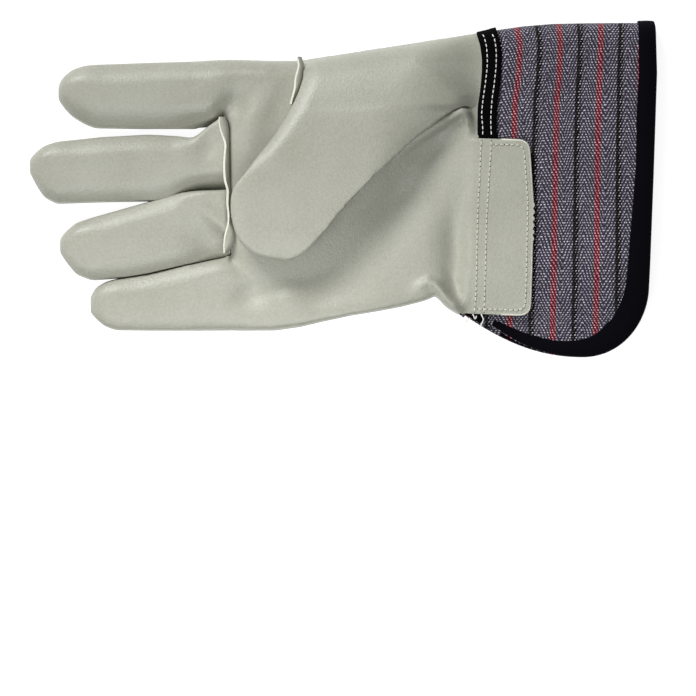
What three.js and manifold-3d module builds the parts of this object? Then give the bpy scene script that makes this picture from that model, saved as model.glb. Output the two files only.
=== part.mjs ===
// A leather-palm work glove for the right hand, lying flat with its palm up and its
// thumb folded over the palm. A stiff striped safety cuff, open along the little-finger
// side, is sewn on at the wrist under a black tape, and black binding runs round its edge.
// Units are millimetres. X runs from the fingertips (-) to the cuff (+), Y points to the
// thumb side and Z up. The origin is under the middle of the glove, on the surface it lies on.
import * as THREE from "three";
import { mergeVertices } from "three/addons/utils/BufferGeometryUtils.js";
import Module from "manifold-3d";

const wasm = await Module();
wasm.setup();

// Driving dimensions
const LEATHER = 1.4; // wall of the palm, finger and thumb leather
const FABRIC = 1.2; // wall of the back and of the cuff
const TAPE = 0.9; // wrist tape and hem binding
const WELT = 1.3; // thickness of the raw seam strips
const GAP = 0.3; // clearance between pieces that are sewn together
const SEAM = 4.5; // height of the side seams between the leather front and the fabric back
const TIP_LENGTH = 34; // how far the leather fingertips reach round onto the back
const CUFF_FLOOR = 1.3; // underside of the cuff's back layer
const THUMB_FLOOR = 15.7; // underside of the thumb, which rests on the palm
const THUMB_SEAM = 18.2; // height of the seam between the thumb's two leather pieces
const BINDING_WIDTH = 8.2; // the binding's visible width along the cuff's edge
const PATCH_LIFT = 1.7; // the pulse patch's underside above the cuff, with the tape between
const FAR = 200; // reaches past the glove on every side
const RUN_ON = 5; // how far a body runs on past the seam that trims it

// Cross-sections of the fingers, from the tip to a place inside the palm. Each row is a
// slice across the finger at x, between its thumb-side edge `top` and its other edge `low`,
// and `rise` is the height of its palm side.
const FINGERS = {
  index: [
    { x: -123.0, top: 44.8, low: 39.0, rise: 7.0 },
    { x: -121.4, top: 48.2, low: 36.2, rise: 9.2 },
    { x: -117.0, top: 51.6, low: 31.6, rise: 12.0 },
    { x: -112.0, top: 53.2, low: 28.4, rise: 13.3 },
    { x: -107.5, top: 53.6, low: 26.3, rise: 14.0 },
    { x: -88.0, top: 54.3, low: 26.0, rise: 14.2 },
    { x: -69.0, top: 54.9, low: 26.0, rise: 14.2 },
    { x: -59.5, top: 55.4, low: 26.8, rise: 14.4 },
    { x: -52.5, top: 55.7, low: 31.6, rise: 14.6 },
    { x: -40.0, top: 55.3, low: 31.6, rise: 12.0 },
  ],
  middle: [
    { x: -134.6, top: 12.9, low: 8.4, rise: 7.0 },
    { x: -132.6, top: 15.4, low: 4.2, rise: 9.6 },
    { x: -129.0, top: 18.4, low: -2.0, rise: 12.4 },
    { x: -124.0, top: 20.4, low: -5.9, rise: 13.8 },
    { x: -105.0, top: 22.3, low: -5.2, rise: 14.2 },
    { x: -85.5, top: 23.4, low: -4.4, rise: 14.2 },
    { x: -72.5, top: 22.8, low: -1.6, rise: 14.0 },
    { x: -64.0, top: 22.6, low: -0.6, rise: 14.0 },
    { x: -52.5, top: 30.4, low: -0.2, rise: 14.0 },
    { x: -40.0, top: 30.4, low: -0.2, rise: 14.0 },
  ],
  ring: [
    { x: -121.7, top: -21.6, low: -26.2, rise: 7.0 },
    { x: -120.0, top: -18.9, low: -29.0, rise: 9.6 },
    { x: -115.0, top: -14.8, low: -35.6, rise: 12.6 },
    { x: -109.0, top: -12.5, low: -38.9, rise: 13.9 },
    { x: -94.0, top: -8.3, low: -37.8, rise: 14.2 },
    { x: -84.0, top: -6.0, low: -36.2, rise: 14.2 },
    { x: -70.5, top: -2.3, low: -33.0, rise: 14.2 },
    { x: -59.5, top: -1.1, low: -30.6, rise: 14.2 },
    { x: -50.0, top: -0.8, low: -28.8, rise: 14.0 },
    { x: -38.0, top: -0.8, low: -28.8, rise: 14.0 },
  ],
  little: [
    { x: -108.4, top: -47.0, low: -52.0, rise: 7.0 },
    { x: -106.6, top: -43.2, low: -54.2, rise: 9.6 },
    { x: -102.6, top: -40.4, low: -58.2, rise: 12.4 },
    { x: -98.5, top: -38.9, low: -60.4, rise: 13.4 },
    { x: -84.0, top: -36.7, low: -60.6, rise: 14.0 },
    { x: -70.5, top: -33.5, low: -60.6, rise: 14.2 },
    { x: -59.5, top: -31.1, low: -60.6, rise: 14.4 },
    { x: -50.0, top: -29.2, low: -60.5, rise: 14.6 },
    { x: -38.0, top: -29.2, low: -60.4, rise: 12.5 },
  ],
};
const FINGER_SHOULDER = 10.5; // how far in from its edges a finger's rounded sides reach
const FINGER_CROWN = 0.6;

// Slices across the hand, from the roots of the fingers to the wrist. The thumb-side end of
// a slice is at (topX, top) and its other end at (lowX, low), as the seams run aslant.
const HAND = [
  { topX: -52.5, top: 55.6, lowX: -48.4, low: -60.4, rise: 9.5 },
  { topX: -50.0, top: 55.8, lowX: -46.0, low: -60.6, rise: 13.4 },
  { topX: -43.0, top: 55.7, lowX: -39.0, low: -60.6, rise: 15.0 },
  { topX: -32.0, top: 55.3, lowX: -29.5, low: -60.5, rise: 15.0 },
  { topX: -20.0, top: 55.3, lowX: -19.0, low: -59.0, rise: 15.0 },
  { topX: -8.0, top: 56.8, lowX: -8.0, low: -56.4, rise: 15.0 },
  { topX: 4.0, top: 59.2, lowX: 3.5, low: -54.0, rise: 15.0 },
  { topX: 16.0, top: 60.8, lowX: 14.5, low: -52.2, rise: 15.0 },
  { topX: 27.5, top: 62.7, lowX: 25.0, low: -50.3, rise: 15.0 },
  { topX: 36.5, top: 64.1, lowX: 32.5, low: -48.4, rise: 14.8 },
  { topX: 43.5, top: 65.1, lowX: 38.0, low: -46.4, rise: 14.2 },
  { topX: 50.0, top: 66.0, lowX: 44.0, low: -49.8, rise: 13.4 },
  { topX: 57.5, top: 67.0, lowX: 50.6, low: -53.8, rise: 13.0 },
];
const HAND_SHOULDER = 13;

// Seams that cross the glove, in plan, from the thumb side to the little-finger side.
const FINGER_SEAM = [[-52.9, 67], [-48.6, -54]]; // across the roots of the fingers
const WRIST_SEAM = [
  [57.2, 72], [57.7, 66], [59.1, 56], [58.9, 42], [57.6, 23], [55.6, -9], [53.5, -50], [50.4, -60],
]; // where the leather butts against the tape
const TAPE_WIDTH = 8.6;

// Dents and folds of the palm: a soft ridge (lift > 0) or hollow (lift < 0) around (x, y),
// `along` long and `across` wide, with its long side turned from X by `turn` degrees.
const PALM_FOLDS = [
  { x: -44, y: 39, along: 8, across: 6, turn: 60, lift: -2.4 }, // below the index finger
  { x: -38, y: -30, along: 10, across: 7, turn: -50, lift: -1.8 }, // below the little finger
  { x: -23, y: -46, along: 12, across: 6, turn: 10, lift: 0.9 }, // swell of the palm's edge
  { x: 20, y: -5, along: 26, across: 14, turn: 55, lift: -2.6 }, // hollow beside the thumb
  { x: 43, y: -28, along: 20, across: 5, turn: 80, lift: -2.6 }, // valley along the wrist seam
  { x: 36, y: -41, along: 7, across: 4, turn: -20, lift: 1.6 }, // pinch at the wrist
  { x: 52, y: -16, along: 34, across: 6, turn: 90, lift: 1.1 }, // rise onto the pulse patch
];

// Ribs of the thumb, from the fold along the glove's edge over to its tip. Each rib runs
// from its left end (finger side) to its right end (wrist side). `crown` is the height of
// its top, `left` and `right` are how far its rounded sides reach in, `edge` is the height
// where they end, and `open` is true where the rib has no underside but opens into the hand.
const THUMB = [
  { lx: -17.6, ly: 54.8, rx: 61.0, ry: 67.2, crown: 8.0, left: 6, right: 20, edge: 7.0, open: true },
  { lx: -17.6, ly: 53.4, rx: 61.0, ry: 65.8, crown: 13.0, left: 6, right: 24, edge: 12.0, open: true },
  { lx: -17.6, ly: 50.8, rx: 61.0, ry: 62.8, crown: 17.4, left: 7, right: 30, edge: 13.0, open: true },
  { lx: -17.8, ly: 46.8, rx: 61.0, ry: 56.0, crown: 21.0, left: 8, right: 36, edge: 13.0, open: true },
  { lx: -19.6, ly: 41.0, rx: 60.5, ry: 44.2, crown: 24.4, left: 8, right: 40, edge: 13.0, open: true },
  { lx: -22.4, ly: 34.8, rx: 54.0, ry: 35.6, crown: 26.6, left: 9, right: 40, edge: 17.6, open: false },
  { lx: -26.2, ly: 27.9, rx: 41.3, ry: 26.4, crown: 27.8, left: 9, right: 26, edge: 18.6, open: false },
  { lx: -31.8, ly: 19.8, rx: 30.1, ry: 18.9, crown: 28.6, left: 10, right: 18, edge: 19.2, open: false },
  { lx: -37.0, ly: 13.3, rx: 19.8, ry: 10.6, crown: 29.0, left: 10, right: 14, edge: 19.4, open: false },
  { lx: -42.4, ly: 6.0, rx: 10.3, ry: 2.2, crown: 29.0, left: 10, right: 12, edge: 19.4, open: false },
  { lx: -47.2, ly: -0.4, rx: 2.6, ry: -5.6, crown: 28.8, left: 10, right: 11, edge: 19.4, open: false },
  { lx: -48.4, ly: -7.6, rx: -3.4, ry: -12.4, crown: 28.4, left: 10, right: 10, edge: 19.4, open: false },
  { lx: -47.2, ly: -15.4, rx: -8.2, ry: -18.6, crown: 27.6, left: 10, right: 10, edge: 19.4, open: false },
  { lx: -44.2, ly: -21.8, rx: -12.6, ry: -23.6, crown: 26.0, left: 9, right: 9, edge: 19.4, open: false },
  { lx: -39.6, ly: -27.0, rx: -17.4, ry: -27.4, crown: 23.8, left: 8, right: 8, edge: 19.4, open: false },
  { lx: -32.6, ly: -29.9, rx: -21.6, ry: -29.6, crown: 21.2, left: 5, right: 5, edge: 19.4, open: false },
];

// Slices across the cuff. Both layers run on past its open side, which CUFF_EDGE trims.
const CUFF = [
  { topX: 57.9, top: 65.6, rise: 11.3 },
  { topX: 66.5, top: 67.1, rise: 11.5 },
  { topX: 77.0, top: 69.6, rise: 12.0 },
  { topX: 90.0, top: 70.9, rise: 12.6 },
  { topX: 106.0, top: 71.1, rise: 13.0 },
  { topX: 122.0, top: 71.2, rise: 13.2 },
  { topX: 145.0, top: 71.2, rise: 13.2 },
];
const CUFF_LOW = -95; // where the untrimmed layers end
const CUFF_SLANT = 9.2; // how much nearer to the fingers a slice's low end is
const CUFF_SHOULDER = 9;
const CUFF_DROP = { from: -28, over: 42, by: 5.6 }; // the front layer settles towards its open edge

const LOOKS = {
  leather: { color: "#b9bbab", roughness: 0.55, metalness: 0 },
  backFabric: { color: "#66626d", roughness: 0.9, metalness: 0 },
  cuffFabric: { color: "#6a6673", roughness: 0.9, metalness: 0 },
  blackTape: { color: "#131217", roughness: 0.85, metalness: 0 },
  rawEdge: { color: "#d2d3c6", roughness: 0.8, metalness: 0 },
};

// A solid that manifold-3d can join and cut, from a closed three.js geometry.
function solid(geometry) {
  const bare = geometry.clone();
  bare.deleteAttribute("normal");
  bare.deleteAttribute("uv");
  const merged = mergeVertices(bare, 1e-4);
  const made = (triVerts) =>
    new wasm.Manifold(
      new wasm.Mesh({ numProp: 3, vertProperties: merged.attributes.position.array, triVerts }),
    );
  const outward = made(new Uint32Array(merged.index.array));
  return outward.volume() > 0 ? outward : made(new Uint32Array(merged.index.array).reverse());
}

// A closed body through rings that all have the same number of points.
function loft(rings) {
  const sides = rings[0].length;
  const points = rings.flat();
  const index = [];
  const next = (s) => (s + 1) % sides;
  for (let r = 0; r + 1 < rings.length; r++)
    for (let s = 0; s < sides; s++) {
      const near = r * sides;
      const far = near + sides;
      index.push(near + s, near + next(s), far + next(s), near + s, far + next(s), far + s);
    }
  for (const last of [false, true]) {
    const start = last ? (rings.length - 1) * sides : 0;
    const ring = points.slice(start, start + sides);
    const middle = ring.reduce((sum, p) => sum.add(p), new THREE.Vector3()).divideScalar(sides);
    const centre = points.push(middle) - 1;
    for (let s = 0; s < sides; s++)
      index.push(centre, start + (last ? s : next(s)), start + (last ? next(s) : s));
  }
  return solid(new THREE.BufferGeometry().setFromPoints(points).setIndex(index));
}

// A prism with the given plan outline, from height `from` to height `to`.
function prism(outline, from, to) {
  const shape = new THREE.Shape(outline.map(([x, y]) => new THREE.Vector2(x, y)));
  const extruded = new THREE.ExtrudeGeometry(shape, { depth: to - from, bevelEnabled: false });
  return solid(extruded.translate(0, 0, from));
}

// Everything on the finger side of a seam that crosses the glove, moved to the cuff by `shift`.
function before(seam, shift) {
  const line = seam.map(([x, y]) => [x + shift, y]);
  const outline = [[line[0][0], FAR], ...line, [line.at(-1)[0], -FAR], [-FAR, -FAR], [-FAR, FAR]];
  return prism(outline, -FAR, FAR);
}

const join = (bodies) => bodies.reduce((all, body) => all.add(body));
const above = (z) => prism([[-FAR, -FAR], [FAR, -FAR], [FAR, FAR], [-FAR, FAR]], z, FAR);
const below = (z) => prism([[-FAR, -FAR], [FAR, -FAR], [FAR, FAR], [-FAR, FAR]], -FAR, z);

// The outline of a flattened tube as [across, height] pairs: a rounded side at each edge, a
// top with `spans` steps, and a flat underside with tight corners.
function flattened(half, { rise, floor, shoulder, crown = 0, spans, foot = 4 }) {
  const steps = 4;
  const turn = (i) => (i / steps) * (Math.PI / 2);
  const flat = half - shoulder;
  const outline = [];
  for (let i = 0; i <= steps; i++)
    outline.push([flat + shoulder * Math.cos(turn(i)), SEAM + (rise - SEAM) * Math.sin(turn(i))]);
  for (let i = 1; i < spans; i++) outline.push([flat - (2 * flat * i) / spans, rise]);
  for (let i = steps; i >= 0; i--)
    outline.push([-flat - shoulder * Math.cos(turn(i)), SEAM + (rise - SEAM) * Math.sin(turn(i))]);
  for (const side of [-1, 1])
    for (const angle of side < 0 ? [45, 90] : [90, 45]) {
      const a = THREE.MathUtils.degToRad(angle);
      const across = half - foot + foot * Math.cos(a);
      outline.push([side * across, SEAM - (SEAM - floor) * Math.sin(a)]);
    }
  return outline.map(([v, z]) => [v, z > SEAM ? z + crown * (1 - (v / half) ** 2) : z]);
}

// One ring of a tube that lies between the points (topX, top) and (lowX, low), as 3-D points.
// `inset` shrinks it on all sides, which gives the inner face of a wall.
function ring(row, inset, options) {
  const { topX = row.x, lowX = row.x, top, low, rise } = row;
  const width = Math.hypot(topX - lowX, top - low);
  const half = Math.max(width / 2 - inset, 1.2);
  const shape = {
    ...options,
    rise: Math.max(rise - inset, SEAM + 0.8),
    floor: (options.floor ?? 0) + inset,
    shoulder: Math.min(options.shoulder - inset, half * 0.8),
    foot: Math.min(4, half * 0.6),
  };
  return flattened(half, shape).map(([v, z]) => {
    const share = v / width;
    return new THREE.Vector3(
      (topX + lowX) / 2 + share * (topX - lowX),
      (top + low) / 2 + share * (top - low),
      z,
    );
  });
}

// How far the folds in a table lift the surface at (x, y).
function foldLift(folds, x, y) {
  let lift = 0;
  for (const fold of folds) {
    const turn = THREE.MathUtils.degToRad(fold.turn);
    const u = (x - fold.x) * Math.cos(turn) + (y - fold.y) * Math.sin(turn);
    const v = -(x - fold.x) * Math.sin(turn) + (y - fold.y) * Math.cos(turn);
    lift += fold.lift * Math.exp(-((u / fold.along) ** 2) - (v / fold.across) ** 2);
  }
  return lift;
}

function fingerBody(name, inset) {
  const options = { shoulder: FINGER_SHOULDER, crown: FINGER_CROWN, spans: 3 };
  const rows = FINGERS[name];
  return loft(rows.map((row) => ring({ ...row, x: row.x + inset }, inset, options)));
}

// The filled hand without its fingers and thumb. `runOn` lengthens it past the wrist.
function handBody(inset, runOn = 0) {
  const rows = HAND.map((row, i) => {
    const shift = i === 0 ? inset : i === HAND.length - 1 ? runOn : 0;
    return { ...row, topX: row.topX + shift, lowX: row.lowX + shift };
  });
  const rings = rows.map((row) => ring(row, inset, { shoulder: HAND_SHOULDER, spans: 13 }));
  for (const point of rings.flat()) {
    const share = THREE.MathUtils.clamp((point.z - SEAM) / 6, 0, 1);
    point.z += share * foldLift(PALM_FOLDS, point.x, point.y);
  }
  return loft(rings);
}

// The thumb: each rib is an arch between its two ends over a flat underside.
function thumbBody(inset) {
  const rings = THUMB.map((rib, i) => {
    const length = Math.hypot(rib.rx - rib.lx, rib.ry - rib.ly);
    const floor = (rib.open ? 0 : THUMB_FLOOR) + inset;
    const crown = rib.crown - inset;
    const edge = Math.min(rib.edge, crown - 0.5);
    const reach = length - 2 * inset;
    // [distance from the left end, height] along the rib
    const arch = [[0, floor]];
    const steps = 4;
    const rounded = (side, k) => {
      const a = (k / steps) * (Math.PI / 2);
      return [side * (1 - Math.cos(a)), edge + (crown - edge) * Math.sin(a)];
    };
    for (let k = 0; k <= steps; k++) arch.push(rounded(Math.min(rib.left, reach * 0.4), k));
    for (let k = steps; k >= 0; k--) {
      const [along, z] = rounded(Math.min(rib.right, reach * 0.55), k);
      arch.push([reach - along, z]);
    }
    arch.push([reach, floor], [reach / 2, floor]);
    // The outermost rib stays clear of the glove's edge, and the last one of the thumb's tip.
    const shift = i === 0 ? -inset : i === THUMB.length - 1 ? inset : 0;
    return arch.map(([along, z]) => {
      const share = (along + inset) / length;
      return new THREE.Vector3(
        rib.lx + share * (rib.rx - rib.lx),
        rib.ly + share * (rib.ry - rib.ly) + shift,
        z,
      );
    });
  });
  return loft(rings);
}

// Height that the cuff's front layer loses towards its open edge, at y.
const cuffDrop = (y) =>
  CUFF_DROP.by * THREE.MathUtils.smoothstep(CUFF_DROP.from - y, 0, CUFF_DROP.over);

// The filled cuff, shrunk by `inset` on all sides except its untrimmed open one.
function cuffBody(inset, runOn) {
  const rings = CUFF.map((row, i) => {
    const end = i === 0 ? -runOn : i === CUFF.length - 1 ? runOn : 0;
    const x = row.topX + end;
    const slice = { ...row, topX: x, lowX: x - CUFF_SLANT, low: CUFF_LOW - runOn * 2 };
    return ring(slice, inset, { floor: CUFF_FLOOR, shoulder: CUFF_SHOULDER, spans: 14 });
  });
  for (const point of rings.flat()) if (point.z > SEAM + 3) point.z -= cuffDrop(point.y);
  return loft(rings);
}

// Both layers of the cuff as one folded sheet, thickened by `grow` on each face.
const cuffSheet = (grow) =>
  cuffBody(-grow, 0).subtract(cuffBody(FABRIC + grow, 5)).subtract(prism(
    [[0, CUFF_LOW + 4], [FAR, CUFF_LOW + 4], [FAR, -FAR], [0, -FAR]], -FAR, FAR,
  ));

// The cuff's edge in plan: the hem, its big rounded corner and the open side up to the
// wrist, all moved inwards by `inset`. The fold on the thumb side isn't trimmed.
function cuffEdge(inset) {
  const edge = new THREE.Path();
  edge.moveTo(134.2, FAR / 2);
  edge.lineTo(134.2, 64);
  edge.lineTo(134.6, 50);
  edge.lineTo(133.1, 5);
  edge.lineTo(131.2, -44);
  edge.bezierCurveTo(130.4, -57, 121, -71.6, 104, -72.4);
  edge.bezierCurveTo(89, -72.6, 75, -68.6, 60.6, -59.4);
  edge.lineTo(50.2, -52.6);
  edge.lineTo(40, -45.8);
  const points = edge.getPoints(7);
  const side = (i) => {
    const along = points[i + 1].clone().sub(points[i]).normalize();
    return new THREE.Vector2(along.y, -along.x);
  };
  const moved = points.map((point, i) => {
    const before = side(Math.max(i - 1, 0));
    const after = side(Math.min(i, points.length - 2));
    const both = before.clone().add(after);
    return point.clone().addScaledVector(both, inset / (1 + before.dot(after))).toArray();
  });
  return [...moved, [20, moved.at(-1)[1]], [20, FAR / 2]];
}

const trimmedCuff = (grow, inset) => cuffSheet(grow).intersect(prism(cuffEdge(inset), -FAR, FAR));

// The cuff's two layers, set in from the binding that wraps their edge.
const cuffFabric = () => trimmedCuff(0, GAP + TAPE).subtract(before(WRIST_SEAM, GAP));

function hemBinding() {
  const folded = trimmedCuff(GAP + TAPE, 0).subtract(trimmedCuff(GAP, TAPE));
  return folded.subtract(prism(cuffEdge(BINDING_WIDTH), -FAR, FAR)).subtract(before(WRIST_SEAM, TAPE_WIDTH + 3 * GAP));
}

// The tape is a closed band round the narrow end of the cuff.
function wristTape() {
  const band = (grow, inset) => cuffBody(-grow, 5).intersect(prism(cuffEdge(inset), -FAR, FAR));
  return band(GAP + TAPE, 0)
    .subtract(band(GAP, TAPE))
    .intersect(before(WRIST_SEAM, GAP + TAPE_WIDTH))
    .subtract(before(WRIST_SEAM, GAP));
}

// The palm leather runs on over the tape and the cuff as a patch with rounded corners.
function pulsePatch() {
  const corner = 5;
  const patch = new THREE.Path();
  patch.moveTo(48, 21.5);
  patch.lineTo(79.6 - corner, 21.0);
  patch.quadraticCurveTo(79.6, 21.0, 80.0, 21.0 - corner);
  patch.lineTo(81.2, -8);
  patch.lineTo(80.3, -54.4 + corner);
  patch.quadraticCurveTo(80.0, -54.6, 80.0 - corner, -54.8);
  patch.lineTo(51, -53.8);
  patch.lineTo(42, -46);
  const outline = patch.getPoints(4).map((p) => [p.x, p.y]);
  const layer = cuffBody(-PATCH_LIFT - LEATHER, 8).subtract(cuffBody(-PATCH_LIFT, 12));
  return layer.intersect(prism(outline, SEAM + 1, FAR));
}

// A raw strip that stands up from a seam, from height `foot` to height `top`. Each row gives
// its place, how wide it shows and how far it leans over in x.
function welt(rows, foot, top, grow) {
  const onwards = Math.sign(rows[1].y - rows[0].y);
  const rings = rows.map(({ x, y, width, lean }, i) => {
    const end = i === 0 ? -grow : i === rows.length - 1 ? grow : 0;
    const extra = (lean * grow) / (top - foot);
    const half = width / 2 + grow;
    const at = (side, z) => new THREE.Vector3(side, y + end * onwards, z);
    return [
      at(x - extra + half, foot - grow),
      at(x + lean + extra + half, top + grow),
      at(x + lean + extra - half, top + grow),
      at(x - extra - half, foot - grow),
    ];
  });
  return loft(rings);
}

// Where the fronts of the middle and ring fingers meet the palm.
const FINGER_WELT = [
  { x: -51.6, y: 31.6, width: 1.3, lean: -1.6 },
  { x: -51.0, y: 25.0, width: 1.5, lean: -1.2 },
  { x: -50.0, y: 19.0, width: 1.3, lean: -0.6 },
  { x: -50.2, y: 11.0, width: 1.4, lean: -1.0 },
  { x: -50.2, y: 4.0, width: 1.5, lean: -0.6 },
  { x: -49.8, y: -3.0, width: 1.3, lean: 0.2 },
  { x: -49.2, y: -11.0, width: 1.3, lean: 0.2 },
  { x: -48.8, y: -19.0, width: 1.9, lean: -1.0 },
  { x: -48.6, y: -27.0, width: 2.6, lean: -2.0 },
];
const fingerWelt = (grow) => welt(FINGER_WELT, 12.0, 15.2, grow);

// Where the thumb's leather meets the palm at the glove's edge.
const THUMB_WELT = [
  { x: -19.6, y: 56.2, width: 1.3, lean: 0.2 },
  { x: -19.2, y: 51.0, width: 1.9, lean: -0.6 },
  { x: -19.8, y: 44.0, width: 2.0, lean: -1.0 },
  { x: -22.2, y: 36.6, width: 1.4, lean: -1.4 },
];
const thumbWelt = (grow) => welt(THUMB_WELT, 12.6, 17.6, grow);

// Assembly of the walls
const names = Object.keys(FINGERS);
const filled = (inset, runOn = 0) =>
  join([handBody(inset, runOn), ...names.map((name) => fingerBody(name, inset))]);
const cavity = filled(LEATHER, 2 * RUN_ON);
const wristSide = before(WRIST_SEAM, 0);
const palmSide = above(SEAM + GAP / 2);
const backSide = below(SEAM - GAP / 2);
const welts = fingerWelt(GAP).add(thumbWelt(GAP));

// The leather of the palm with the index and little fingers, whose fronts are cut in one
// with it, and the pulse patch.
const palmWall = join([handBody(0, RUN_ON), fingerBody("index", 0), fingerBody("little", 0)])
  .subtract(cavity)
  .intersect(palmSide)
  .intersect(wristSide)
  .add(pulsePatch())
  .subtract(thumbBody(-GAP))
  .subtract(welts);

// The front of the middle or ring finger, sewn on across the base of the finger.
const fingerWall = (name) =>
  fingerBody(name, 0)
    .subtract(fingerBody(name, LEATHER).add(fingerBody(name, LEATHER).translate(4, 0, 0)))
    .intersect(palmSide)
    .intersect(before(FINGER_SEAM, -GAP))
    .subtract(welts);

// The thumb has an outer piece, which reaches down to the side seam at its root, and an
// inner piece, which lies on the palm.
const thumbWall = thumbBody(0)
  .subtract(thumbBody(LEATHER))
  .subtract(cavity)
  .intersect(palmSide)
  .intersect(wristSide)
  .subtract(welts);
const thumbUnder = (shift) =>
  prism([[-FAR, 38 + shift], [FAR, 40 + shift], [FAR, -FAR], [-FAR, -FAR]], -FAR, THUMB_SEAM + shift);
const thumbOuter = thumbWall.subtract(thumbUnder(GAP / 2));
const thumbInner = thumbWall.intersect(thumbUnder(-GAP / 2));

// The back is fabric, except for the leather fingertips that reach round onto it.
const tipZone = (name, shift) =>
  fingerBody(name, shift - GAP).intersect(
    prism(
      [[-FAR, -FAR], [FINGERS[name][0].x + TIP_LENGTH - shift, -FAR],
        [FINGERS[name][0].x + TIP_LENGTH - shift, FAR], [-FAR, FAR]],
      -FAR,
      FAR,
    ),
  );
const backWall = filled(0, RUN_ON)
  .subtract(filled(FABRIC, 2 * RUN_ON))
  .intersect(backSide)
  .intersect(wristSide);
const backFabric = names.reduce((wall, name) => wall.subtract(tipZone(name, 0)), backWall);
const fingertip = (name) =>
  fingerBody(name, 0)
    .subtract(fingerBody(name, FABRIC))
    .intersect(backSide)
    .intersect(tipZone(name, GAP));

// The mesh of a cut body, with the colour of its material.
function piece(name, body, look) {
  const { vertProperties, triVerts, numProp, numVert } = body.getMesh();
  const position = new Float32Array(numVert * 3);
  for (let i = 0; i < numVert; i++)
    position.set(vertProperties.subarray(i * numProp, i * numProp + 3), i * 3);
  const geometry = new THREE.BufferGeometry();
  geometry.setAttribute("position", new THREE.BufferAttribute(position, 3));
  geometry.setIndex(new THREE.BufferAttribute(triVerts, 1));
  geometry.computeVertexNormals();
  const mesh = new THREE.Mesh(geometry, new THREE.MeshStandardMaterial(LOOKS[look]));
  mesh.name = name;
  return mesh;
}

const glove = new THREE.Group();
glove.add(
  piece("palm_leather", palmWall, "leather"),
  piece("middle_finger_leather", fingerWall("middle"), "leather"),
  piece("ring_finger_leather", fingerWall("ring"), "leather"),
  piece("thumb_leather", thumbOuter, "leather"),
  piece("thumb_inner_leather", thumbInner, "leather"),
  piece("back_fabric", backFabric, "backFabric"),
  ...names.map((name) => piece(`${name}_fingertip`, fingertip(name), "leather")),
  piece("finger_seam_welt", fingerWelt(0), "rawEdge"),
  piece("thumb_seam_welt", thumbWelt(0), "rawEdge"),
  piece("cuff_fabric", cuffFabric(), "cuffFabric"),
  piece("wrist_tape", wristTape(), "blackTape"),
  piece("hem_binding", hemBinding(), "blackTape"),
);

export default glove;
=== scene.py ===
# %% [markdown]
# # A leather-palm work glove with a striped safety cuff
#
# The glove lies flat with its palm up. Its fingers point to -X, its thumb is folded over the
# palm from the +Y side, and its cuff opens at +X. The frame holds the real sizes. This lesson
# builds the soft skins, stitches and cloth that the frame leaves plain, each in its own place.

# %% Load the frame
import math

import bmesh
import bpy
import numpy as np
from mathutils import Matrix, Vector
from mathutils.bvhtree import BVHTree


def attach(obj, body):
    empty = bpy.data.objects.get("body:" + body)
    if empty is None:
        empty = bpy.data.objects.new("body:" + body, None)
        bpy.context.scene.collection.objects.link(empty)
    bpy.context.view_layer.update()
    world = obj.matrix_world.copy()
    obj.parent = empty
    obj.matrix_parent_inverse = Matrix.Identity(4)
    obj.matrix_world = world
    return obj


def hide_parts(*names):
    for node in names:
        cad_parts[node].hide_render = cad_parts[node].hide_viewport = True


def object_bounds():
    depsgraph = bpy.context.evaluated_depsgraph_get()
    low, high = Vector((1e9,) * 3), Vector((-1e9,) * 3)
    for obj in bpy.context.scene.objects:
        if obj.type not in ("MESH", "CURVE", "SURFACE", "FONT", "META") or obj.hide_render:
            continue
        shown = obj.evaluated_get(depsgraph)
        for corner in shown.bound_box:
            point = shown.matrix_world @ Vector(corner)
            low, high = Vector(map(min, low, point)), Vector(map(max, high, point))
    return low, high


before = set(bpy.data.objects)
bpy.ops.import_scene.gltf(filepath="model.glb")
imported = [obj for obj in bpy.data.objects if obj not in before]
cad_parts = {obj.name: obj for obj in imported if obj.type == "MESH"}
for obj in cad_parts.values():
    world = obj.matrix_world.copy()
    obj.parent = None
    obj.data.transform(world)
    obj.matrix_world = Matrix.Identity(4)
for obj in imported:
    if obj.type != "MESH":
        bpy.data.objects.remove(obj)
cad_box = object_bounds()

MM = 0.001
frame_size = [round(v / MM) for v in cad_box[1] - cad_box[0]]
print("frame nodes:", len(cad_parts), "size in mm:", frame_size)

# %% [markdown]
# ## Camera, floor and light
#
# The photograph looks straight down on the glove, from far enough away that tall parts don't
# lean outwards. A long lens gives the same flat look. The floor is a pale sheet lit from below,
# as on a light table, which keeps shadows beside the glove faint. A soft window stands low
# beyond the thumb side and the fingertips, so that each finger has a satin highlight near its
# upper edge. A near softbox on the other side makes the lower part of the picture brighter.

# %% Camera
VIEW_MIDDLE = (1.7, -68.4, 12.0)  # the point in mm that lies in the picture's middle
VIEW_WIDTH = 299.3  # what the picture's width shows at that point's height
SENSOR = 36.0
LENS = 200.0

camera_data = bpy.data.cameras.new("camera")
camera_data.lens = LENS
camera_data.sensor_width = SENSOR
camera_data.clip_end = 20.0
camera = bpy.data.objects.new("camera", camera_data)
bpy.context.scene.collection.objects.link(camera)
distance = VIEW_WIDTH * LENS / SENSOR
camera.location = [v * MM for v in VIEW_MIDDLE[:2]] + [(VIEW_MIDDLE[2] + distance) * MM]
bpy.context.scene.camera = camera
print("camera height in m:", round(camera.location.z, 3))

# %% Floor
FLOOR_SIDE = 12.0
FLOOR_GAP = 0.0002
FLOOR_GLOW = 0.93

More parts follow.
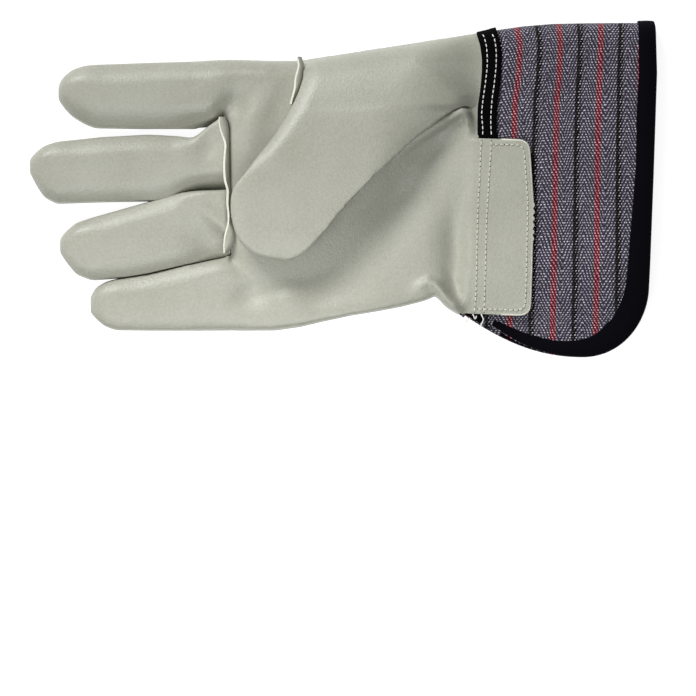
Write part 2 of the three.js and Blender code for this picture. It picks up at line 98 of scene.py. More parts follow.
bpy.ops.object.select_all(action="DESELECT")
bpy.ops.mesh.primitive_plane_add(size=FLOOR_SIDE, location=(0, 0, -FLOOR_GAP))
floor = bpy.context.object
floor.name = "floor"
floor_look = bpy.data.materials.new("pale_floor")
floor_look.use_nodes = True
floor_shader = floor_look.node_tree.nodes["Principled BSDF"]
floor_shader.inputs["Base Color"].default_value = (0.3, 0.3, 0.3, 1)
floor_shader.inputs["Roughness"].default_value = 0.9
floor_shader.inputs["Specular IOR Level"].default_value = 0.1
floor_shader.inputs["Emission Color"].default_value = (1, 1, 1, 1)
floor_shader.inputs["Emission Strength"].default_value = FLOOR_GLOW
floor.data.materials.append(floor_look)
print("floor side in m:", FLOOR_SIDE)

# %% Light
# columns: name, place, what it faces, side, watts
LAMPS = [
    ("window", (-1.08, 1.84, 1.52), (0, 0, 0), 1.0, 70.0),
    ("softbox", (-0.06, -0.19, 0.30), (-0.06, -0.16, 0), 0.28, 1.12),
]
ROOM_GLOW = 0.03

for name, place, target, side, watts in LAMPS:
    lamp_data = bpy.data.lights.new(name, "AREA")
    lamp_data.shape = "SQUARE"
    lamp_data.size = side
    lamp_data.energy = watts
    lamp = bpy.data.objects.new(name, lamp_data)
    bpy.context.scene.collection.objects.link(lamp)
    lamp.location = place
    lamp.rotation_euler = (Vector(target) - Vector(place)).to_track_quat("-Z", "Y").to_euler()
room = bpy.data.worlds.new("room")
room.use_nodes = True
room.node_tree.nodes["Background"].inputs["Color"].default_value = (1, 1, 1, 1)
room.node_tree.nodes["Background"].inputs["Strength"].default_value = ROOM_GLOW
bpy.context.scene.world = room
bpy.context.scene.view_settings.view_transform = "Standard"
print("lamps:", len(LAMPS))

# %% [markdown]
# ## The glove's forms as short tables
#
# A sewn glove is a set of flattened tubes. Each tube is given here by slices, in millimetres:
# where the slice's thumb-side end is (top_x, top), where its other end is (low_x, low), and
# how high its palm side rises. The same driving sizes stand in the frame's own source, so the
# skins land where the frame's solids are. Everything in between is worked out by loops.

# %% Driving sizes
LEATHER = 1.4  # thickness of the leather
FABRIC = 1.2  # thickness of the cuff's and the back's cloth
SEAM = 4.5  # height of the side seams between the leather front and the fabric back
print("leather, cloth and seam height in mm:", LEATHER, FABRIC, SEAM)

# %% Finger slices
# columns: x, top, low, rise
FINGERS = {
    "index": [
        (-123.0, 44.8, 39.0, 9.2), (-121.4, 48.2, 36.2, 11.6), (-117.0, 51.6, 31.6, 13.0),
        (-112.0, 53.2, 28.6, 13.8), (-107.5, 53.6, 26.8, 14.0), (-88.0, 54.3, 26.5, 14.2),
        (-65.0, 55.0, 26.5, 14.2), (-58.5, 55.4, 26.8, 14.4), (-52.5, 55.7, 31.0, 14.8),
        (-40.0, 55.3, 31.6, 14.8), (-30.0, 55.0, 33.0, 14.0),
    ],
    "middle": [
        (-135.3, 13.0, 7.4, 9.2), (-133.2, 15.6, 3.0, 11.6), (-129.4, 18.6, -3.0, 13.2),
        (-124.0, 20.4, -5.9, 14.0), (-105.0, 22.3, -5.2, 14.2), (-85.5, 23.4, -4.8, 14.2),
        (-80.0, 23.2, -4.9, 14.1), (-72.5, 22.8, -3.4, 14.0), (-66.0, 22.0, -2.2, 14.0),
        (-63.6, 22.8, -1.9, 14.0), (-58.5, 27.0, -1.4, 14.0), (-52.5, 31.2, -1.0, 14.0),
        (-40.0, 31.2, -1.0, 14.0),
    ],
    "ring": [
        (-122.3, -21.4, -27.0, 9.2), (-120.4, -18.7, -30.2, 11.6), (-115.4, -14.6, -36.4, 13.2),
        (-109.0, -12.5, -38.9, 13.9), (-94.0, -8.3, -37.8, 14.2), (-84.0, -5.5, -36.2, 14.2),
        (-80.0, -4.3, -35.2, 14.2), (-70.5, -1.7, -33.0, 14.2), (-65.0, -0.9, -31.8, 14.2),
        (-50.0, -0.3, -28.8, 14.0), (-38.0, -0.3, -28.8, 14.0),
    ],
    "little": [
        (-109.1, -46.6, -52.8, 9.2), (-107.2, -42.8, -55.4, 11.6), (-103.0, -40.2, -58.8, 13.0),
        (-98.5, -38.9, -60.4, 13.4), (-84.0, -36.7, -60.6, 14.0), (-70.5, -33.5, -60.6, 14.2),
        (-59.5, -31.1, -60.6, 14.4), (-50.0, -29.2, -60.5, 14.8), (-38.0, -29.2, -60.4, 14.6),
        (-26.0, -31.0, -60.0, 13.6),
    ],
}
print("slices of each finger:", [len(rows) for rows in FINGERS.values()])

# %% How the fingers' sides round over
# A side stands upright for a share of the rise, then rounds over a reach: (reach, share) of the
# thumb side and of the other side, first on the finger and then at its root.
SHOULDERS = {
    "index": (((10.0, 0.5), (13.0, 0.5)), ((10.0, 0.5), (10.0, 0.3))),
    "middle": (((8.5, 0.6), (9.0, 0.65)), ((3.0, 0.85), (9.0, 0.2))),
    "ring": (((8.5, 0.6), (8.0, 0.7)), ((3.0, 0.85), (7.0, 0.6))),
    "little": (((9.0, 0.65), (6.0, 0.85)), ((9.0, 0.7), (6.0, 0.85))),
}
ROOT_RUN = (-74.0, -62.0)
TIP_RUN = (4.0, 20.0)  # within this distance of a fingertip the sides round over less,
TIP_REACH = 0.55  # down to this share of the reach
FINGER_CROWN = 0.5  # the palm side bulges by this much in its middle
print("fingers with shoulders:", len(SHOULDERS))

# %% Hand slices
# columns: top_x, top, low_x, low, rise
HAND = [
    (-52.5, 55.6, -48.4, -60.4, 9.5), (-50.0, 55.8, -46.0, -60.6, 13.2),
    (-43.0, 55.7, -39.0, -60.6, 15.0), (-32.0, 55.3, -29.5, -60.5, 15.0),
    (-20.0, 55.3, -19.0, -59.0, 15.0), (-8.0, 56.8, -8.0, -56.4, 15.0),
    (4.0, 59.2, 3.5, -54.0, 15.0), (16.0, 60.8, 14.5, -52.2, 15.0),
    (27.5, 62.7, 25.0, -50.2, 15.0), (36.5, 64.1, 33.5, -48.0, 14.8),
    (41.5, 64.8, 37.6, -46.6, 14.5), (44.0, 65.1, 39.2, -45.2, 14.4),
    (46.0, 65.4, 41.6, -47.6, 14.4), (50.0, 66.0, 44.5, -50.8, 14.2),
    (57.5, 67.0, 50.6, -54.4, 14.2), (66.0, 68.0, 60.0, -64.0, 14.4),
    (92.0, 70.0, 90.0, -72.0, 14.4),
]
HAND_SHOULDERS = ((12.0, 0.3), (5.0, 0.9))
print("slices of the hand:", len(HAND))

# %% Seam lines that cross the glove, in plan
FINGER_SEAM = [(-54.0, 67.0), (-49.2, 20.0), (-48.7, -26.0), (-46.0, -54.0)]
WRIST_SEAM = [
    (56.6, 72), (57.3, 66.6), (58.5, 62), (59.2, 56.6), (59.2, 51.3), (58.8, 45.6), (58.2, 40.6),
    (57.4, 35.6), (57.3, 29.9), (57.3, 22.4), (55.6, -9), (53.5, -50), (50.4, -60),
]
print("points of the finger seam and the wrist seam:", len(FINGER_SEAM), len(WRIST_SEAM))


def on_line(line, y):
    """Where a seam line that crosses the glove is at y."""
    xs, ys = np.array(line[::-1], float).T
    return np.interp(y, ys, xs)


# %% [markdown]
# ## Closed bodies from slices
#
# A skin that swells and folds is best made from a closed body: the slices are joined into
# tubes, tubes that grow into each other are melted together by a voxel remesh, and the folds
# are pressed in afterwards, point by point. A remesh keeps an even mesh all over the glove,
# which boolean joins or a hand-made grid would not give at the crotches between fingers.

# %% Objects and their points
def mesh_object(name, points, faces):
    """An object from points in millimetres."""
    mesh = bpy.data.meshes.new(name)
    mesh.from_pydata([tuple(p) for p in np.asarray(points, float) * MM], [], faces)
    mesh.validate()
    made = bpy.data.objects.new(name, mesh)
    bpy.context.scene.collection.objects.link(made)
    return made


def use(obj):
    bpy.ops.object.select_all(action="DESELECT")
    bpy.context.view_layer.objects.active = obj
    obj.select_set(True)


def modify(obj, kind, **settings):
    """Adds a modifier with these settings and applies it."""
    use(obj)
    modifier = obj.modifiers.new(kind.lower(), kind)
    for key, value in settings.items():
        setattr(modifier, key, value)
    bpy.ops.object.modifier_apply(modifier=modifier.name)
    return obj


def places(obj):
    """All points of an object as rows of x, y, z in millimetres."""
    flat = np.empty(len(obj.data.vertices) * 3, np.float64)
    obj.data.vertices.foreach_get("co", flat)
    return flat.reshape(-1, 3) / MM


def put(obj, points):
    obj.data.vertices.foreach_set("co", (points * MM).ravel())
    obj.data.update()


# %% Changing a mesh
def edit(obj, change):
    """Runs change on the object's bmesh."""
    mesh = bmesh.new()
    mesh.from_mesh(obj.data)
    change(mesh)
    mesh.to_mesh(obj.data)
    mesh.free()
    obj.data.update()
    return obj


def facing_out(obj):
    """Turns all faces of closed shapes outwards."""
    return edit(obj, lambda mesh: bmesh.ops.recalc_face_normals(mesh, faces=mesh.faces))


def cut_along(mesh, point, normal, **clear):
    """Cuts a bmesh along a plane through a point in millimetres."""
    return bmesh.ops.bisect_plane(
        mesh, geom=mesh.verts[:] + mesh.edges[:] + mesh.faces[:],
        plane_co=[v * MM for v in point], plane_no=normal, **clear,
    )


# %% Tubes
def tube_faces(rings, sides, start=0):
    """Sides and end caps of a tube whose points are numbered ring by ring from start."""
    faces = []
    for near in range(start, start + (rings - 1) * sides, sides):
        far = near + sides
        for s in range(sides):
            t = (s + 1) % sides
            faces.append((near + s, near + t, far + t, far + s))
    last = start + (rings - 1) * sides
    faces.append(tuple(range(start + sides - 1, start - 1, -1)))
    faces.append(tuple(range(last, last + sides)))
    return faces


def lofted(name, rings):
    """A closed tube through rings of points, all with the same number of points."""
    faces = tube_faces(len(rings), len(rings[0]))
    return facing_out(mesh_object(name, np.concatenate(rings), faces))


# %% Slices between the slices
def averaged(rows, reach, **ends):
    """Each row of numbers averaged with its neighbours, up to `reach` rows away."""
    padded = np.pad(rows, ((reach, reach), (0, 0)), **ends)
    window = np.ones(2 * reach + 1) / (2 * reach + 1)
    return np.column_stack([np.convolve(column, window, "valid") for column in padded.T])


SLICE_STEP = 1.0
CORNER_EASE = 2.0  # the outline's corners are eased over this much


def more_slices(rows, soften):
    """A slice every millimetre, with corners eased over `soften` millimetres."""
    table = np.array([(r[0], r[1], r[0], r[2], r[3]) if len(r) == 4 else r for r in rows], float)
    along = (table[:, 0] + table[:, 2]) / 2
    steps = np.arange(along[0], along[-1], SLICE_STEP)
    fine = np.column_stack([np.interp(steps, along, column) for column in table.T])
    return averaged(fine, int(soften / SLICE_STEP / 2), mode="reflect", reflect_type="odd")


# %% The outline of one slice
FOOT = 4.0  # the underside rounds up to the side seam over this much
MOST_FOOT = 0.6  # but no more than this share of half the width,
MOST_SHOULDER = 0.86  # and a shoulder no more than this share of it


def slice_ring(row, shoulders, crown=0.0):
    """The outline of one slice: rounded sides, a crowned top and a flat underside."""
    top_x, top, low_x, low, rise = row
    width = math.hypot(top_x - low_x, top - low)
    half = width / 2
    foot = min(FOOT, half * MOST_FOOT)
    ease = np.linspace(0, 1, 12)
    places_across, lifts = [], []
    for reach, upright in shoulders:
        reach = min(reach, half * MOST_SHOULDER)
        places_across.append(np.concatenate([[half, half], half - reach * ease]))
        curve = np.concatenate([[0, upright / 2], upright + (1 - upright) * (1 - (1 - ease) ** 2)])
        lifts.append(SEAM + (rise - SEAM) * curve)
    middle = np.linspace(places_across[0][-1], -places_across[1][-1], 42)[1:-1]
    across = np.concatenate([places_across[0], middle, -places_across[1][::-1]])
    height = np.concatenate([lifts[0], np.full(len(middle), rise), lifts[1][::-1]])
    height = height + crown * (1 - (across / half) ** 2)
    corner = np.linspace(0, math.pi / 2, 6)[1:]
    under = half - foot + foot * np.cos(corner)
    depth = SEAM - SEAM * np.sin(corner)
    base = np.linspace(-(half - foot), half - foot, 22)[1:-1]
    across = np.concatenate([across, -under, base, under[::-1]])
    height = np.concatenate([height, depth, np.zeros(len(base)), depth[::-1]])
    share = across / width
    return np.column_stack([
        (top_x + low_x) / 2 + share * (top_x - low_x),
        (top + low) / 2 + share * (top - low),
        height,
    ])


# %% Bodies of the fingers and the hand
def finger_body(name):
    tip, root = np.array(SHOULDERS[name])
    rings = []
    for row in more_slices(FINGERS[name], CORNER_EASE):
        share = np.interp(row[0], ROOT_RUN, (0, 1))
        tight = np.interp(row[0] - FINGERS[name][0][0], TIP_RUN, (TIP_REACH, 1.0))
        shoulders = (tip + share * (root - tip)) * (tight, 1.0)
        rings.append(slice_ring(row, shoulders, FINGER_CROWN))
    return lofted(name, rings)


def hand_body():
    rows = more_slices(HAND, CORNER_EASE)
    return lofted("hand", [slice_ring(row, HAND_SHOULDERS) for row in rows])


def glove_bodies():
    """The bodies that palm and back have in common."""
    return [hand_body(), finger_body("index"), finger_body("little")]


# %% Melting bodies together
def joined(first, others):
    """Puts the others' meshes into the first object."""
    use(first)
    for other in others:
        other.select_set(True)
    if others:
        bpy.ops.object.join()
    return first


def melted(name, bodies, voxel, smoothing):
    """Joins closed bodies into one even skin."""
    whole = joined(bodies[0], bodies[1:])
    whole.name = name
    modify(whole, "REMESH", mode="VOXEL", voxel_size=voxel * MM, adaptivity=0)
    modify(whole, "SMOOTH", factor=0.5, iterations=smoothing)
    print(name, "melted into", len(whole.data.polygons), "faces")
    return whole


# %% [markdown]
# ## Folds and dents
#
# Leather that has been packed flat keeps soft swells, dents and a few sharp creases. Each is
# one row of a table: a bell-shaped lift for a swell or dent, a lift and a dip side by side for
# a crease, and a ridge that follows a short line where the leather is pinched at the thumb
# and at the wrist. Sculpting by hand would do it too, but rows can be read and corrected.

# %% Fold shapes
def turned(x, y, middle_x, middle_y, turn):
    angle = math.radians(turn)
    u = (x - middle_x) * math.cos(angle) + (y - middle_y) * math.sin(angle)
    v = -(x - middle_x) * math.sin(angle) + (y - middle_y) * math.cos(angle)
    return u, v


def swells(table, x, y):
    """Bell-shaped lifts. Columns: x, y, along, across, turn, lift."""
    lift = np.zeros_like(x)
    for middle_x, middle_y, along, across, turn, height in table:
        u, v = turned(x, y, middle_x, middle_y, turn)
        lift += height * np.exp(-((u / along) ** 2) - (v / across) ** 2)
    return lift


def creases(table, x, y):
    """A ridge on the left of a line and a dip on its right. Same columns as for swells."""
    lift = np.zeros_like(x)
    for middle_x, middle_y, along, across, turn, height in table:
        u, v = turned(x, y, middle_x, middle_y, turn)
        side = v / across
        lift += height * 1.65 * side * np.exp(-(side**2)) * np.exp(-((u / along) ** 2))
    return lift


def pinches(table, x, y):
    """Ridges along short lines. Each row: points (x, y, lift), width, and how flat the top is."""
    lift = np.zeros_like(x)
    for line, width, flatness in table:
        best = np.full_like(x, 1e9)
        height = np.zeros_like(x)
        for (ax, ay, al), (bx, by, bl) in zip(line, line[1:]):
            run = np.hypot(bx - ax, by - ay)
            share = np.clip(((x - ax) * (bx - ax) + (y - ay) * (by - ay)) / run**2, 0, 1)
            off = np.hypot(x - ax - share * (bx - ax), y - ay - share * (by - ay))
            nearer = off < best
            best = np.where(nearer, off, best)
            height = np.where(nearer, al + share * (bl - al), height)
        lift += height * np.exp(-((best / width) ** flatness))
    return lift


# %% Pressing and softening
PRESS_RISE = 5.0  # the folds grow to their full depth over this much above the side seams


def press(obj, swell_rows, crease_rows, pinch_rows):
    """Presses the folds into the palm side of a body."""
    points = places(obj)
    x, y, z = points.T
    share = np.clip((z - SEAM) / PRESS_RISE, 0, 1)
    lift = swells(swell_rows, x, y) + creases(crease_rows, x, y) + pinches(pinch_rows, x, y)
    points[:, 2] += share * lift
    put(obj, points)
    return obj


def soften(obj, test, iterations):
    """Smooths the points that pass the test, so that joined bodies show no step."""
    chosen = [int(i) for i in np.flatnonzero(test(*places(obj).T))]
    group = obj.vertex_groups.new(name="soft")
    group.add(chosen, 1.0, "REPLACE")
    modify(obj, "SMOOTH", factor=0.5, iterations=iterations, vertex_group="soft")
    obj.vertex_groups.clear()
    return obj


# %% Folds of the palm
PALM_SWELLS = [
    (-47.4, 36.2, 7.5, 5.8, 66, -3.0),  # dimple below the index finger
    (-60.0, 42.0, 9.0, 6.0, 20, 0.9),  # belly of the index finger beside that dimple
    (-39.0, 30.0, 15.0, 5.5, 58, 1.3),  # swell between the dimple and the thumb
    (-27.0, 36.0, 18.0, 5.0, 62, -1.5),  # leather drawn down towards the thumb's edge
    (-29.0, 51.0, 16.0, 3.6, 0, 0.9),  # edge below the thumb's welt
    (-40.0, -45.0, 9.0, 6.0, 20, -2.6),  # hollow below the little finger
    (-23.0, -47.5, 9.0, 5.0, 10, 1.9),  # bump of the palm's edge
    (-46.0, -32.0, 7.0, 4.0, -30, -1.2),  # leather drawn in at the ring finger's root
    (25.0, -3.5, 25.0, 11.5, 55, -4.4),  # hollow beside the thumb
    (40.0, 18.0, 12.0, 7.0, 35, -1.7),  # its upper end, below the thumb's fold
    (61.0, 0.0, 24.0, 15.0, 90, -0.9),  # palm drawn down towards the wrist seam
    (0.0, -33.0, 24.0, 8.0, 30, -1.4),  # its run below the thumb's tip
    (47.8, -27.0, 17.0, 6.2, 92, -3.4),  # valley along the wrist seam
    (35.5, -43.0, 4.6, 3.2, -10, 0.8),  # dome inside the pinch at the wrist
    (48.8, -43.5, 8.0, 3.2, -62, -2.6),  # deep side of that pinch
    (0.0, -55.5, 30.0, 9.0, 9, 3.4),  # the palm's low edge stands up a little
    (-61.0, 26.2, 9.0, 3.0, 3, -5.5),  # index finger's edge, drawn under towards the crotch
    (53.0, 41.0, 9.0, 4.0, -10, -3.0),  # under the thumb's base
]
PALM_CREASES = [
    (-66.0, 46.0, 22.0, 6.0, 4, 0.5),  # soft break along the index finger
    (-55.0, -38.0, 12.0, 4.0, 18, 0.6),  # soft break across the little finger's root
]
PALM_PINCHES = [
    ([(22.0, 13.6, 0.2), (30.8, 20.8, 1.6), (35.4, 24.0, 2.6), (40.4, 27.2, 3.3),
      (44.0, 29.5, 3.6), (47.6, 31.8, 3.8), (50.4, 33.0, 3.8), (52.6, 32.2, 3.2),
      (53.8, 29.6, 2.4), (54.6, 26.4, 1.4), (54.9, 21.0, 0.0)], 2.0, 5),
    ([(30.0, -43.8, 0.4), (33.0, -41.2, 1.2), (36.4, -39.6, 1.9), (39.4, -41.0, 2.3),
      (41.8, -44.0, 2.4), (44.2, -47.2, 2.2), (47.2, -50.2, 1.8), (50.0, -52.4, 0.8)], 1.9, 2),
]
FINGER_SWELLS = {
    "middle": [
        (-58.0, 18.0, 8.0, 5.0, 55, -1.8),  # hollow at the root
        (-60.0, 28.5, 9.0, 2.6, 30, 1.0),  # rim over the index finger's edge
        (-57.0, -3.0, 13.0, 8.5, 5, -4.4),  # drawn under beside the ring finger
    ],
    "ring": [
        (-60.0, -1.4, 17.0, 3.8, 3, 1.6),  # upper edge, pushed up over the middle finger
        (-56.0, -26.5, 12.0, 8.5, -40, -4.4),  # leather falling away below the fold
    ],
}
FINGER_CREASES = {"middle": [(-100.0, 12.0, 30.0, 6.0, 3, 0.3)]}
FINGER_PINCHES = {"ring": [
    ([(-65.0, -4.4, 0.0), (-61.0, -8.0, 0.8), (-56.0, -12.6, 1.4), (-51.0, -17.0, 2.0)], 3.0, 2),
]}
print("folds of the palm:", len(PALM_SWELLS) + len(PALM_CREASES) + len(PALM_PINCHES))

# %% [markdown]
# ## The palm leather
#
# The palm, the fronts of the index and little fingers and the pulse patch are cut in one piece
# of leather. The melted body is cut at the side seams, at the finger seam and where the thumb
# is sewn in. At the wrist it runs on over the tape and the cuff as a patch with round corners.
# A Solidify modifier then gives the skin its 1.4 mm, with a raw paler edge.

# %% Heights of the cuff, which the patch lies on
# columns: x, y of the fold, rise of the front layer
CUFF = [
    (57.9, 66.7, 11.3), (66.5, 69.0, 11.5), (77.0, 70.5, 12.0), (90.0, 71.6, 12.6),
    (106.0, 71.9, 13.0), (122.0, 72.0, 13.2), (145.0, 72.0, 13.2),
]
CUFF_SHOULDER = 9.0  # the front layer rounds towards the fold over this much
CUFF_DROP = (-28.0, 42.0, 5.6)  # the front layer settles below y, over a stretch, by so much


def cuff_fold(x):
    return np.interp(x, [r[0] for r in CUFF], [r[1] for r in CUFF])


def cuff_height(x, y):
    """Outer face of the cuff's front layer."""
    start, stretch, drop = CUFF_DROP
    share = np.clip((start - y) / stretch, 0, 1)
    settled = drop * share * share * (3 - 2 * share)
    return np.interp(x, [r[0] for r in CUFF], [r[2] for r in CUFF]) - settled


def cuff_top(x, y):
    """The same face with its rounding towards the fold."""
    near = np.clip((y - cuff_fold(x) + CUFF_SHOULDER) / CUFF_SHOULDER, 0, 1)
    return SEAM + (cuff_height(x, y) - SEAM) * np.sqrt(1 - near**2)


# %% Helpers for outlines
def rounded(corners, radius, skip=()):
    """A closed outline with arcs at its corners, apart from those to skip."""
    outline = []
    for i, corner in enumerate(corners):
        here = Vector(corner)
        if i in skip:
            outline.append(tuple(here))
            continue
        before = (Vector(corners[i - 1]) - here).normalized()
        after = (Vector(corners[(i + 1) % len(corners)]) - here).normalized()
        reach = min(radius / math.tan(before.angle(after) / 2), radius)
        for step in np.linspace(0, 1, 9):
            start, end = here + before * reach, here + after * reach
            point = start * (1 - step) ** 2 + here * (2 * step * (1 - step)) + end * step**2
            outline.append(tuple(point))
    return outline


def dense(outline, step=0.5):
    """The same line with a point every half millimetre."""
    points = []
    for (ax, ay), (bx, by) in zip(outline, outline[1:]):
        count = max(1, int(math.hypot(bx - ax, by - ay) / step))
        for i in range(count):
            points.append((ax + (bx - ax) * i / count, ay + (by - ay) * i / count))
    return points + [outline[-1]]


# %% The outline of the pulse patch
PATCH_CORNERS = [(57.6, 21.7), (79.6, 21.0), (81.4, -6.0), (80.3, -54.6), (49.9, -53.4)]
SQUARE_CORNERS = (0, 2, 4)  # corners of the patch that aren't rounded
PATCH_RADIUS = 5.5
PATCH_TOP = 22.2  # above this y the leather's edge follows the wrist seam,
UNDER_TAPE = 0.6  # and ends this far past it, below the tape
SCALLOPS = (-23.0, -6.0, 2.9, 1.1)  # from y, to y, length of one, depth
SCALLOPS_FROM = 70.0  # they are on the patch's far edge, past this x


def scalloped(points):
    start, end, length, depth = SCALLOPS
    made = []
    for x, y in points:
        if start < y < end and x > SCALLOPS_FROM:
            x += depth * abs(math.sin((y - start) / length * math.pi)) - depth / 2
        made.append((x, y))
    return made


patch_line = scalloped(dense(rounded(PATCH_CORNERS, PATCH_RADIUS, SQUARE_CORNERS)))
wrist_line = [(x + UNDER_TAPE, y) for x, y in dense(WRIST_SEAM) if y > PATCH_TOP]
FAR = 200.0  # well outside the glove
PALM_END = 49.0  # below the patch the palm leather ends here
PALM_OUTLINE = [
    (-FAR, FAR), (wrist_line[0][0], FAR), *wrist_line, *patch_line, (PALM_END, -FAR), (-FAR, -FAR),
]
print("patch outline points:", len(patch_line))


# %% Cutting a skin
def inside(outline, x, y):
    """Which points lie inside a plan outline."""
    corners = np.array(outline)
    hit = np.zeros(len(x), bool)
    for (ax, ay), (bx, by) in zip(corners, np.roll(corners, -1, 0)):
        if ay == by:
            continue
        crosses = (ay > y) != (by > y)
        hit ^= crosses & (x < (bx - ax) * (y - ay) / (by - ay) + ax)
    return hit


def keep(obj, test):
    """Keeps the faces whose middle passes the test of x, y, z in millimetres."""

    def change(mesh):
        middles = np.array([f.calc_center_median() for f in mesh.faces]) / MM
        passed = test(*middles.T)
        gone = [f for f, stays in zip(mesh.faces, passed) if not stays]
        bmesh.ops.delete(mesh, geom=gone, context="FACES")

    return edit(obj, change)


def level_cut(obj, height, upper):
    """Cuts the body at a height and keeps its upper or lower part."""
    clear = {"clear_inner": upper, "clear_outer": not upper}
    return edit(obj, lambda mesh: cut_along(mesh, (0, 0, height), (0, 0, 1), **clear))


# %% Shaping a skin's edges
def snapped(obj, line, reach=1.6, ease=2):
    """Moves the open edge that lies near a plan line onto that line and eases its heights."""
    line = np.array(line, float)
    start, run = line[:-1], np.diff(line, axis=0)
    length = np.maximum((run**2).sum(1), 1e-12)

    def change(mesh):
        edge = [v for v in mesh.verts if v.is_boundary]
        for v in edge:
            here = np.array(v.co[:2]) / MM
            share = np.clip(((here - start) * run).sum(1) / length, 0, 1)
            foot = start + share[:, None] * run
            off = np.hypot(*(foot - here).T)
            nearest = off.argmin()
            if off[nearest] < reach:
                v.co.x, v.co.y = foot[nearest] * MM
        for _ in range(ease):
            moved = {}
            for v in edge:
                beside = [e.other_vert(v) for e in v.link_edges if e.is_boundary]
                if len(beside) == 2:
                    moved[v] = (beside[0].co.z + beside[1].co.z + 2 * v.co.z) / 4
            for v, height in moved.items():
                v.co.z = height

    return edit(obj, change)


def tucked(obj, line, reach, drop, fade=0.1):
    """Bends the skin down into a seam line that crosses the glove, less and less at its low end."""
    points = places(obj)
    x, y, z = points.T
    off = np.abs(x - on_line(line, y))
    near = np.clip(1 - off / reach, 0, 1) * (z > SEAM + 5) * (y < line[0][1])
    near *= np.clip((y - line[-1][1]) / fade, 0, 1)
    points[:, 2] -= drop * near**2
    put(obj, points)


def flared(obj, out=0.45, height=1.5):
    """Lets the lowest millimetres of a skin stand out a little, as a sewn side seam does."""
    points = places(obj)
    normals = np.empty(len(points) * 3)
    obj.data.vertices.foreach_get("normal", normals)
    normals = normals.reshape(-1, 3)
    flat = np.hypot(normals[:, 0], normals[:, 1])
    share = np.clip(1 - (points[:, 2] - SEAM) / height, 0, 1) ** 2 * (flat > 0.4)
    points[:, :2] += (share / np.maximum(flat, 0.4))[:, None] * normals[:, :2] * out
    put(obj, points)


# %% A skin's thickness
def walled(obj, thickness, raw_edge=True):
    """Gives a skin its thickness, inwards, and the cut edge its own material slot."""
    return modify(
        obj, "SOLIDIFY", thickness=thickness * MM, offset=-1, use_even_offset=False,
        use_rim=True, material_offset_rim=1 if raw_edge else 0,
    )


# %% The palm skin
VOXEL = 0.85
SMOOTHING = 3
SIDE_GAP = 0.1  # leather and cloth each end this far from the middle of the side seam
# plan of the hole in the palm leather, below the thumb's base
THUMB_ROOT = [(-16.6, 90), (-16.6, 48), (24, 48), (46, 41.5), (53, 37.6), (70, 36.8), (70, 90)]

palm = melted("palm_leather_skin", glove_bodies(), VOXEL, SMOOTHING)
# The bodies meet between these places, and the second pass ends nearer to the fingers.
JOINT_START = -66
for joint_end in (-12, -20):
    soften(palm, lambda x, y, z: (x > JOINT_START) & (x < joint_end) & (z > SEAM + 1.5), 12)
press(palm, PALM_SWELLS, PALM_CREASES, PALM_PINCHES)

# %% Onto the tape and the cuff
PATCH_LIFT = 1.7  # height of the patch's inner face over the cuff
TAPE_LIFT = 0.6  # height of the tape's inner face over the cuff
LEATHER_UNDER_TAPE = TAPE_LIFT + 0.2  # top of the leather where the tape covers it
PATCH_BEGINS = (20.8, 24.0)  # between these places across the glove the tape goes under the patch
CLIMB = (6.0, 7.0)  # the leather starts to climb this far before the wrist seam, over this much
RIPPLE = 0.25  # the patch isn't quite flat


def onto_cuff(obj):
    """Past the wrist seam the leather lies on the tape and the cuff."""
    points = places(obj)
    x, y, z = points.T
    start, run = CLIMB
    share = np.clip((x - on_line(WRIST_SEAM, y) + start) / run, 0, 1) * (z > SEAM + 2)
    share = share * share * (3 - 2 * share)
    lift = np.interp(y, PATCH_BEGINS, (PATCH_LIFT + LEATHER, LEATHER_UNDER_TAPE))
    on_patch = cuff_top(x, y) + lift + RIPPLE * np.sin(y / 7.0) * np.sin(x / 9.0)
    points[:, 2] = z + share * (on_patch - z)
    put(obj, points)


onto_cuff(palm)
x, y, z = places(palm).T
past_seam = z[x > on_line(WRIST_SEAM, y)]
print("highest leather past the wrist seam in mm:", round(float(past_seam.max()), 1))

# %% Cutting the palm leather out
ROOTS = (-28.8, 30.6)  # the middle and ring fingers' roots lie between these y,
ROOT_START = -57.0  # and right of this x
CROTCH = [(-57.4, 26.2), (-52.6, 30.6)]  # where the middle finger's rim lies on the index finger
SEAM_GAP = 0.2  # the palm leather ends this far before the finger seam
root_seam = [(x, y) for x, y in dense(FINGER_SEAM) if ROOTS[0] < y < ROOTS[1]]


def at_root(x, y):
    """Where the palm leather is cut away for the middle and ring fingers."""
    return (x > ROOT_START) & (y < np.interp(x, *np.transpose(CROTCH))) & (y > ROOTS[0])


level_cut(palm, SEAM + SIDE_GAP, upper=True)
keep(palm, lambda x, y, z: inside(PALM_OUTLINE, x, y))
keep(palm, lambda x, y, z: ~inside(THUMB_ROOT, x, y))
keep(palm, lambda x, y, z: ~((x < on_line(FINGER_SEAM, y) - SEAM_GAP) & at_root(x, y)))
snapped(palm, wrist_line + patch_line)
snapped(palm, CROTCH, reach=1.0)
snapped(palm, root_seam)
tucked(palm, root_seam, 1.4, 1.0, fade=5.0)
flared(palm)
walled(palm, LEATHER)
print("palm leather faces:", len(palm.data.polygons))

# %% The leather's corner at the wrist
WRIST_CORNER = (49.6, 53.0, -53.7)  # from x, to x, lowest y


def drawn_back(obj):
    """Brings a sharp corner that the wall's thickness leaves back to the patch's edge."""
    points = places(obj)
    x, y, z = points.T
    start, end, lowest = WRIST_CORNER
    beyond = (x > start) & (x < end) & (y < lowest) & (z > SEAM + 4)
    points[beyond, 1] = lowest
    put(obj, points)
    return int(beyond.sum())


print("points drawn back at the corner:", drawn_back(palm))

